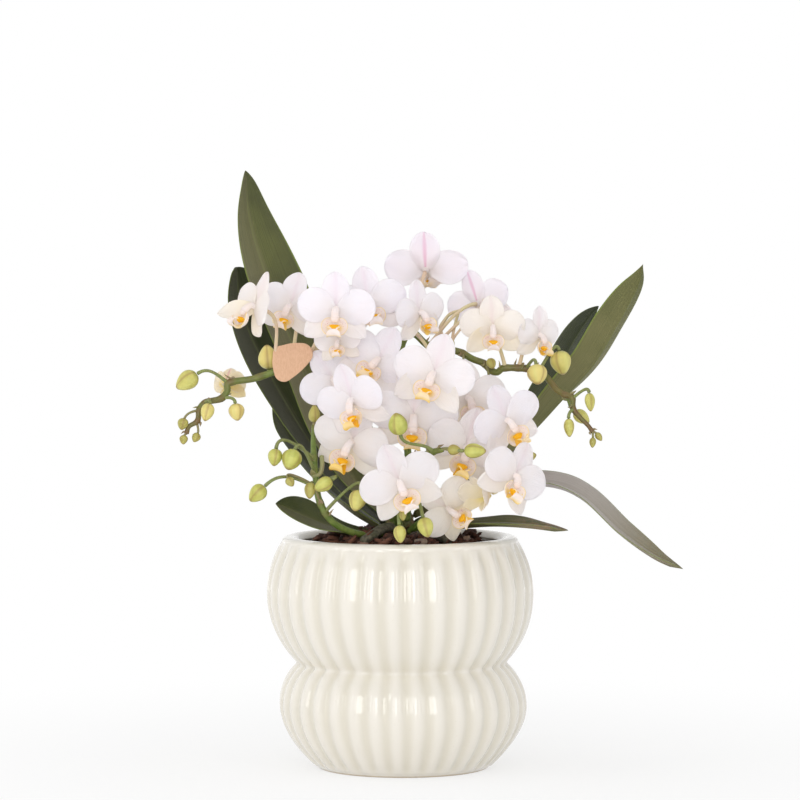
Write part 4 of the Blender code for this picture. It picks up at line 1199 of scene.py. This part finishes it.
# %% Where each flower or bud leaves its stalk, as a share of the stalk's length
NODES = {
    "flower_spike_1": {"flower_01": 0.65, "flower_02": 0.60, "flower_03": 0.56,
                       "flower_04": 0.56, "flower_10": 0.36, "flower_12": 0.48,
                       "flower_13": 0.21, "flower_22": 0.78, "flower_23": 0.45,
                       "flower_24": 0.56, "bud_01": 0.79, "bud_02": 0.89, "bud_03": 0.84,
                       "bud_04": 0.70},
    "flower_spike_2": {"bud_05": 0.82, "bud_06": 0.74, "bud_07": 0.66, "bud_08": 0.66,
                       "bud_09": 0.52},
    "flower_spike_3": {"flower_05": 0.45, "flower_06": 0.46, "flower_07": 0.51,
                       "flower_08": 0.71, "flower_09": 0.74, "flower_11": 0.46,
                       "flower_21": 0.34, "bud_14": 0.76, "bud_15": 0.79, "bud_16": 0.90,
                       "bud_17": 0.93, "bud_18": 0.88},
    "flower_spike_4": {"flower_14": 0.77, "flower_15": 0.53, "bud_10": 0.92, "bud_11": 0.97,
                       "bud_12": 0.39, "bud_13": 0.66},
    "flower_spike_5": {"flower_16": 0.83, "flower_17": 0.83, "flower_18": 0.52,
                       "flower_19": 0.26, "flower_20": 0.52},
}
# The youngest buds: share of the stalk, middle, lean, nod, length, width
SMALL_BUDS = {
    "flower_spike_1": [(0.92, (-102.7, -31, 166.9), 195, 10, 5.8, 5.2),
                       (1.00, (-102.3, -31, 159.5), 185, 15, 4.6, 4.0),
                       (0.95, (-96.6, -29, 160.4), 205, 10, 4.8, 4.2)],
    "flower_spike_2": [(0.66, (-51.5, -46, 140.5), 145, 20, 5.0, 4.4),
                       (0.58, (-42.2, -47, 136.5), 185, 15, 8.0, 5.4),
                       (1.00, (-40.6, -25, 171.5), 0, 0, 8.5, 5.6)],
    "flower_spike_3": [(0.55, (24.1, -9, 204.0), 150, 20, 5.6, 4.4),
                       (0.59, (33.2, -11, 193.0), 120, 20, 4.5, 4.0),
                       (0.67, (43.5, -14, 194.8), 155, 30, 5.6, 4.6),
                       (0.65, (42.3, -14, 187.6), 180, 50, 3.8, 3.4),
                       (1.00, (94.2, -27.5, 160.7), 145, 10, 4.7, 3.2),
                       (1.00, (91.2, -29, 158.0), 185, 15, 5.0, 3.2)],
    "flower_spike_4": [(0.97, (25.4, -57, 156.3), 90, 15, 6.5, 5.0),
                       (0.60, (1.3, -57, 125.5), 180, 15, 5.0, 3.6)],
    "flower_spike_5": [(1.00, (61.2, -34, 151.8), 75, 10, 6.8, 5.0)],
}
print(sum(map(len, NODES.values())), "flowers and buds and", sum(map(len, SMALL_BUDS.values())),
      "of the youngest buds leave the stalks")


# %% Own stems, bracts and a whole stalk
HANDLE = 0.42  # how far the curve's two handles reach, as a share of the way to go
UPWARD = 0.4  # how much a stem slants upwards where it leaves the stalk
SHORT = 0.25  # how far short of the back of its flower or bud a stem's last point lies
FLOWER_STEM, BUD_STEM, YOUNG_STEM = 0.95, 0.85, 0.65  # the radii of own stems at their feet


def own_stem(start, leave, end, arrive, foot, tip, tone):
    """A tube along the cubic curve from start, leaving one way, to end, arriving another."""
    reach = HANDLE * np.linalg.norm(end - start)
    t = np.linspace(0, 1, 26)[:, None]
    b, c = start + reach * unit(leave), end - reach * unit(arrive)
    line = (1 - t) ** 3 * start + 3 * (1 - t) ** 2 * t * b + 3 * (1 - t) * t**2 * c + t**3 * end
    radii = np.interp(t[:, 0], [0, 0.12, 0.5, 0.85, 1],
                      [foot * 1.25, foot, 0.85 * foot, tip, tip * 1.15])
    return tube(line, radii, 10, tone)


def bract(start, leave, along, size):
    """A dry pointed scale that hugs the foot of an own stem."""
    rings, _ = flower_blade(2.1 * size, 1.5 * size, 0.3, 1.0, 0.5 * size, 0.5, 0.8,
                            thick=0.3, rows=8, sides=10)
    forward = unit(-np.cross(np.cross(leave, along), leave))
    side = np.cross(leave, forward)
    matrix = np.stack([unit(side), -forward, unit(leave)], axis=-1)
    return moved(skin(rings, None, (0.3, 0.75, 0.0)), matrix, start + forward * 0.9 * size)


def stalk_surfaces(name, route, foot, tip):
    """One stalk with all that grows from it, and its youngest buds."""
    line = evenly(smooth_line(route, 20 * len(route)), 0.9)
    walked = run_of(line)
    length, run = walked[-1], walked / walked[-1]
    along = unit(np.gradient(line, axis=0))
    places = np.array(sorted({*NODES[name].values(), *(bud[0] for bud in SMALL_BUDS[name])}))
    swell = np.exp(-(((run[:, None] - places) * length / NODE_LENGTH) ** 2)).sum(axis=1)
    radii = np.interp(run, [0, THIN_SHARE, 1], [foot, THIN_RADIUS * foot, tip])
    radii = radii + NODE_RISE * np.minimum(swell, 1)
    brown = np.clip(0.08 + BROWNING[name] * run**2 + 0.3 * swell, 0, 1)
    surfaces = [tube(line, radii, 14, three(0.0, brown, 0))]

    def grow(share, end, arrive, foot, tip, tone, scale):
        """An own stem from a share of the stalk to its end, and the bract at its foot."""
        k = np.argmin(np.abs(run - share))
        leave = unit(unit(end - line[k]) + (0, 0, UPWARD))
        surfaces.append(own_stem(line[k], leave, end, arrive, foot, tip, tone))
        surfaces.append(bract(line[k], leave, along[k], radii[k] * scale))

    for part, share in NODES[name].items():
        end, arrive = stem_ends[part]
        pale, thick = (0.95, FLOWER_STEM) if part in FLOWERS else (0.12, BUD_STEM)
        grow(share, end - SHORT * arrive, arrive, thick, thick * 0.95, (pale, 0.15, 0), 1.1)
    for stem, thick in SIDE_STEMS.get(name, []):
        pale = 0.3 if thick > 1 else 0.9
        surfaces.append(tube(smooth_line(stem, 30), thick, 10, (pale, 0.3, 0)))
    young = []
    for share, middle, lean, nod, length, width in SMALL_BUDS[name]:
        axis = axis_of(lean, nod)
        grow(share, np.array(middle) - 0.3 * length * axis, axis, YOUNG_STEM, 0.6,
             (0.2, 0.5, 0), 0.9)
        young.append(bud_surface(middle, axis, length, width, 0.1, 0.35, share * 7))
    return surfaces, young


# %% Stalk skin, and the five stalks
def stalk_skin():
    """Green where it is young and thick, brown at the nodes and the tips, pale under flowers."""
    f = Finish("stalk_skin")
    pale, brown, _ = f.given("tone")
    fine = f.noise(f.where(), 420, 3)
    patch = f.noise(f.where(), 90, 3)
    own_stems = f.mix(f.between(patch, 0.35, 0.65), rgb(224, 212, 166), rgb(226, 198, 170))
    colour = f.coats(rgb(94, 120, 48),
                     (f.between(fine, 0.3, 0.7), rgb(122, 142, 66)),
                     (f.times(brown, f.between(patch, 0.3, 0.6, 0.4, 1.1)), rgb(118, 92, 58)),
                     (pale, own_stems))
    f.thin(colour, 0.06)
    return f.done(colour, f.between(fine, 0.3, 0.7, 0.35, 0.55), f.bump(fine, 0.0002, 0.5))


green_stalk = stalk_skin()
for name, (route, foot, tip) in SPIKES.items():
    stems, young = stalk_surfaces(name, route, foot, tip)
    write_piece(name + "_stalk", [(green_stalk, stems), (green_bud, young)],
                "flower_stalk", name)
say("stalks", len(SPIKES))


# %% [markdown]
# ## The card
# A grower's card hangs on the first stalk: stiff brown kraft board with three rounded corners,
# like a plectrum. Its outline is three arcs joined by sides that bow out a little. It is bare
# here. The board shows fine fibres and specks. A paper tie behind it loops round the stalk.

# %% The card's outline
LABEL_CORNERS = [(-56.1, 199.6, 4.2), (-46.5, 199.8, 5.2), (-55.0, 191.3, 4.7)]
LABEL_FRONT, LABEL_THICKNESS, LABEL_BOW = -24.6, 0.7, 0.5
TIE_RADIUS, TIE_LOOP, TIE_ACROSS = 0.45, 2.9, -56.0


def card_outline(steps):
    """Arcs round the corners, clockwise from the front, joined by sides that bow outwards.

    A side is the straight run between two arcs plus the bow times the sine of the share run.
    """
    corners = np.array(LABEL_CORNERS)
    arcs, outwards = [], []
    for k, (across, height, radius) in enumerate(corners):
        before, after = corners[k - 1], corners[(k + 1) % 3]
        arrive = math.atan2(height - before[1], across - before[0]) + math.pi / 2
        leave = math.atan2(after[1] - height, after[0] - across) + math.pi / 2
        angle = np.linspace(arrive, arrive + (leave - arrive) % (-2 * math.pi), steps)
        arcs.append(np.stack([across + radius * np.cos(angle), height + radius * np.sin(angle)],
                             axis=-1))
        outwards.append((math.cos(leave), math.sin(leave)))
    u = np.linspace(0, 1, 10)[1:-1, None]
    sides = [(1 - u) * arcs[k][-1] + u * arcs[(k + 1) % 3][0]
             + LABEL_BOW * np.sin(math.pi * u) * outwards[k] for k in range(3)]
    return np.vstack([part for pair in zip(arcs, sides) for part in pair])


# %% The card's finish
def kraft():
    """Brown board with long fibres and a few darker specks."""
    f = Finish("kraft_card")
    fibre = f.noise(f.where((1, 1, 0.35)), 1500, 4, 0.7)
    colour = f.coats(rgb(208, 164, 132),
                     (f.between(fibre, 0.3, 0.7), rgb(220, 180, 148)),
                     (f.between(f.cells(900), 0.0, 0.22, 0.6, 0.0), rgb(186, 138, 104)))
    return f.done(colour, f.between(fibre, 0.3, 0.7, 0.75, 0.92), f.bump(fibre, 0.00012, 0.7))


# %% The card and its tie
# Six rings, from the front to the back: the first two and the last two round the cut edge.
outline = card_outline(14)
centre = outline.mean(axis=0)
inset = np.array([0.96, 0.985, 1.0, 1.0, 0.985, 0.96])[:, None, None]
depth = np.array([0, 0.02, 0.12, 0.88, 0.98, 1.0])[:, None] * LABEL_THICKNESS + LABEL_FRONT
flat = centre + (outline - centre) * inset
card = three(flat[..., 0], depth, flat[..., 1])
stalk_1 = evenly(smooth_line(SPIKES["flower_spike_1"][0], 400), 0.5)[::-1]
stalk_y, stalk_z = (np.interp(TIE_ACROSS, stalk_1[:, 0], stalk_1[:, k]) for k in (1, 2))
# The tie is a loop round the stalk whose two ends go into the card.
swing = np.radians(np.linspace(35, 325, 48))
loop = three(TIE_ACROSS, stalk_y - TIE_LOOP * np.cos(swing), stalk_z + TIE_LOOP * np.sin(swing))
ends = three(TIE_ACROSS, LABEL_FRONT + LABEL_THICKNESS - 0.3,
             stalk_z + np.array([0.6, -0.6]) * TIE_LOOP)
tie = np.vstack([ends[:1], loop, ends[1:]])
write_piece("kraft_label", [(kraft(), [skin(card), tube(tie, TIE_RADIUS, 12)])], "kraft_card",
            "plant_label")
say("card", 1)


# %% [markdown]
# ## The studio
# The plant stands on a plain white floor in soft light. One softbox looks at it from the front,
# eleven more stand round it in a ring, and one hangs above. The ring's lamps are narrow in front,
# where each puts one slim streak on the glaze, and wide at the sides and behind. A pale world
# fills the shadows.
#
# To the camera, and in reflections and through clear things, the floor is partly plain white: it
# keeps a faint shadow near the plant and melts into the background further out. A strength of 1
# is white there, and matt surfaces get no light from it.

# %% Floor and world
def studio_floor():
    """Matt white, with a plain white shine that only the camera and reflections see."""
    f = Finish("studio_floor")
    f.set(f.shader, Base_Color=rgb(250, 250, 250), Roughness=0.9)
    white = f.add("Emission", Color=(1, 1, 1, 1), Strength=1.0)
    away = f.add("VectorMath", Vector=f.add("TexCoord").outputs["Object"])
    away.operation = "LENGTH"
    paths = f.add("LightPath").outputs
    seen = f.sum("MAXIMUM", paths["Is Camera Ray"],
                 f.sum("MAXIMUM", paths["Is Glossy Ray"], paths["Is Transmission Ray"]))
    f.beside(f.times(seen, f.between(away.outputs["Value"], 0.06, 0.4, 0.65, 1.0)), white)
    return f.material


FLOOR_REACH, WORLD_LIGHT, WORLD_SEEN = 2.5, 0.56, 1.0
mesh = bpy.data.meshes.new("floor")
mesh.from_pydata([(x * FLOOR_REACH, y * FLOOR_REACH, 0)
                  for x, y in ((-1, -1), (1, -1), (1, 1), (-1, 1))], [], [(0, 1, 2, 3)])
mesh.materials.append(studio_floor())
floor = bpy.data.objects.new("floor", mesh)
bpy.context.scene.collection.objects.link(floor)

world = bpy.data.worlds.new("studio")
world.use_nodes = True
bpy.context.scene.world = world
tree = world.node_tree
rays = tree.nodes.new("ShaderNodeLightPath").outputs
seen = tree.nodes.new("ShaderNodeMath")
seen.operation = "MAXIMUM"
strength = tree.nodes.new("ShaderNodeMapRange")
strength.inputs["To Min"].default_value = WORLD_LIGHT
strength.inputs["To Max"].default_value = WORLD_SEEN
background = tree.nodes["Background"]
background.inputs["Color"].default_value = (1, 1, 1, 1)
for output, socket in ((rays["Is Camera Ray"], seen.inputs[0]),
                       (rays["Is Transmission Ray"], seen.inputs[1]),
                       (seen.outputs[0], strength.inputs["Value"]),
                       (strength.outputs[0], background.inputs["Strength"])):
    tree.links.new(output, socket)
print(f"the floor is {2 * FLOOR_REACH:.0f} m wide, and the world's light is {WORLD_LIGHT}")


# %% Lamps
LAMPS, LAMP_RING, LAMP_HEIGHT, LAMP_POWER = 12, 1.3, 0.46, 1.08
LAMP_SIZE, WIDE_SIZE, WIDE_LAMPS = (0.2, 0.8), (0.65, 1.1), range(3, 10)
LEFT_SHARE = 0.3  # the share that lamps on the left have more, and on the right less
FRONT_SIZE, FRONT_SHIFT, FRONT_POWER = (0.5, 0.85), -0.1, 4.8
TOP_SIZE, TOP_PLACE, TOP_POWER = (0.8, 0.8), (0, -0.2, 1.5), 2.0
LIT_HEIGHT = 0.14


def softbox(name, place, size, power):
    """A rectangular lamp of a width and height in metres that looks at the plant's middle."""
    light = bpy.data.lights.new(name, "AREA")
    light.shape = "RECTANGLE"
    light.size, light.size_y = size
    light.energy = power
    lamp = bpy.data.objects.new(name, light)
    lamp.location = place
    aim = Vector((0, 0, LIT_HEIGHT)) - Vector(place)
    lamp.rotation_euler = aim.to_track_quat("-Z", "Y").to_euler()
    bpy.context.scene.collection.objects.link(lamp)


softbox("front_softbox", (FRONT_SHIFT, -LAMP_RING, LAMP_HEIGHT), FRONT_SIZE, FRONT_POWER)
for number in range(1, LAMPS):
    turn = math.radians(360 / LAMPS * number)
    softbox(f"softbox_{number:02d}",
            (LAMP_RING * math.sin(turn), -LAMP_RING * math.cos(turn), LAMP_HEIGHT),
            WIDE_SIZE if number in WIDE_LAMPS else LAMP_SIZE,
            LAMP_POWER * (1 - LEFT_SHARE * math.sin(turn)))
softbox("top_softbox", TOP_PLACE, TOP_SIZE, TOP_POWER)
print(f"{LAMPS} lamps round the plant and one above it")


# %% Camera
CAMERA_AWAY, CAMERA_RISE, CAMERA_LENS = 2.0, math.radians(2.8), 187.5
AIM_SHARE = 0.616  # the height that the camera looks at, as a share of the whole height
target = Vector((0, 0, AIM_SHARE * HEIGHT * MM))
back = Vector((0, -math.cos(CAMERA_RISE), math.sin(CAMERA_RISE)))
camera = bpy.data.objects.new("camera", bpy.data.cameras.new("camera"))
camera.data.lens = CAMERA_LENS
camera.location = target + CAMERA_AWAY * back
camera.rotation_euler = (-back).to_track_quat("-Z", "Y").to_euler()
bpy.context.scene.collection.objects.link(camera)
bpy.context.scene.camera = camera
bpy.context.scene.view_settings.view_transform = "Standard"
print(f"the camera looks at {target.z / MM:.0f} mm through a {CAMERA_LENS} mm lens")


# %% [markdown]
# ## Last look
# The finished model should fill the same box as the imported one. The count of pieces and
# their triangles is printed.

# %% Count the pieces and triangles, and finish
print(f"{len(made)} pieces, {sum(made)} triangles")
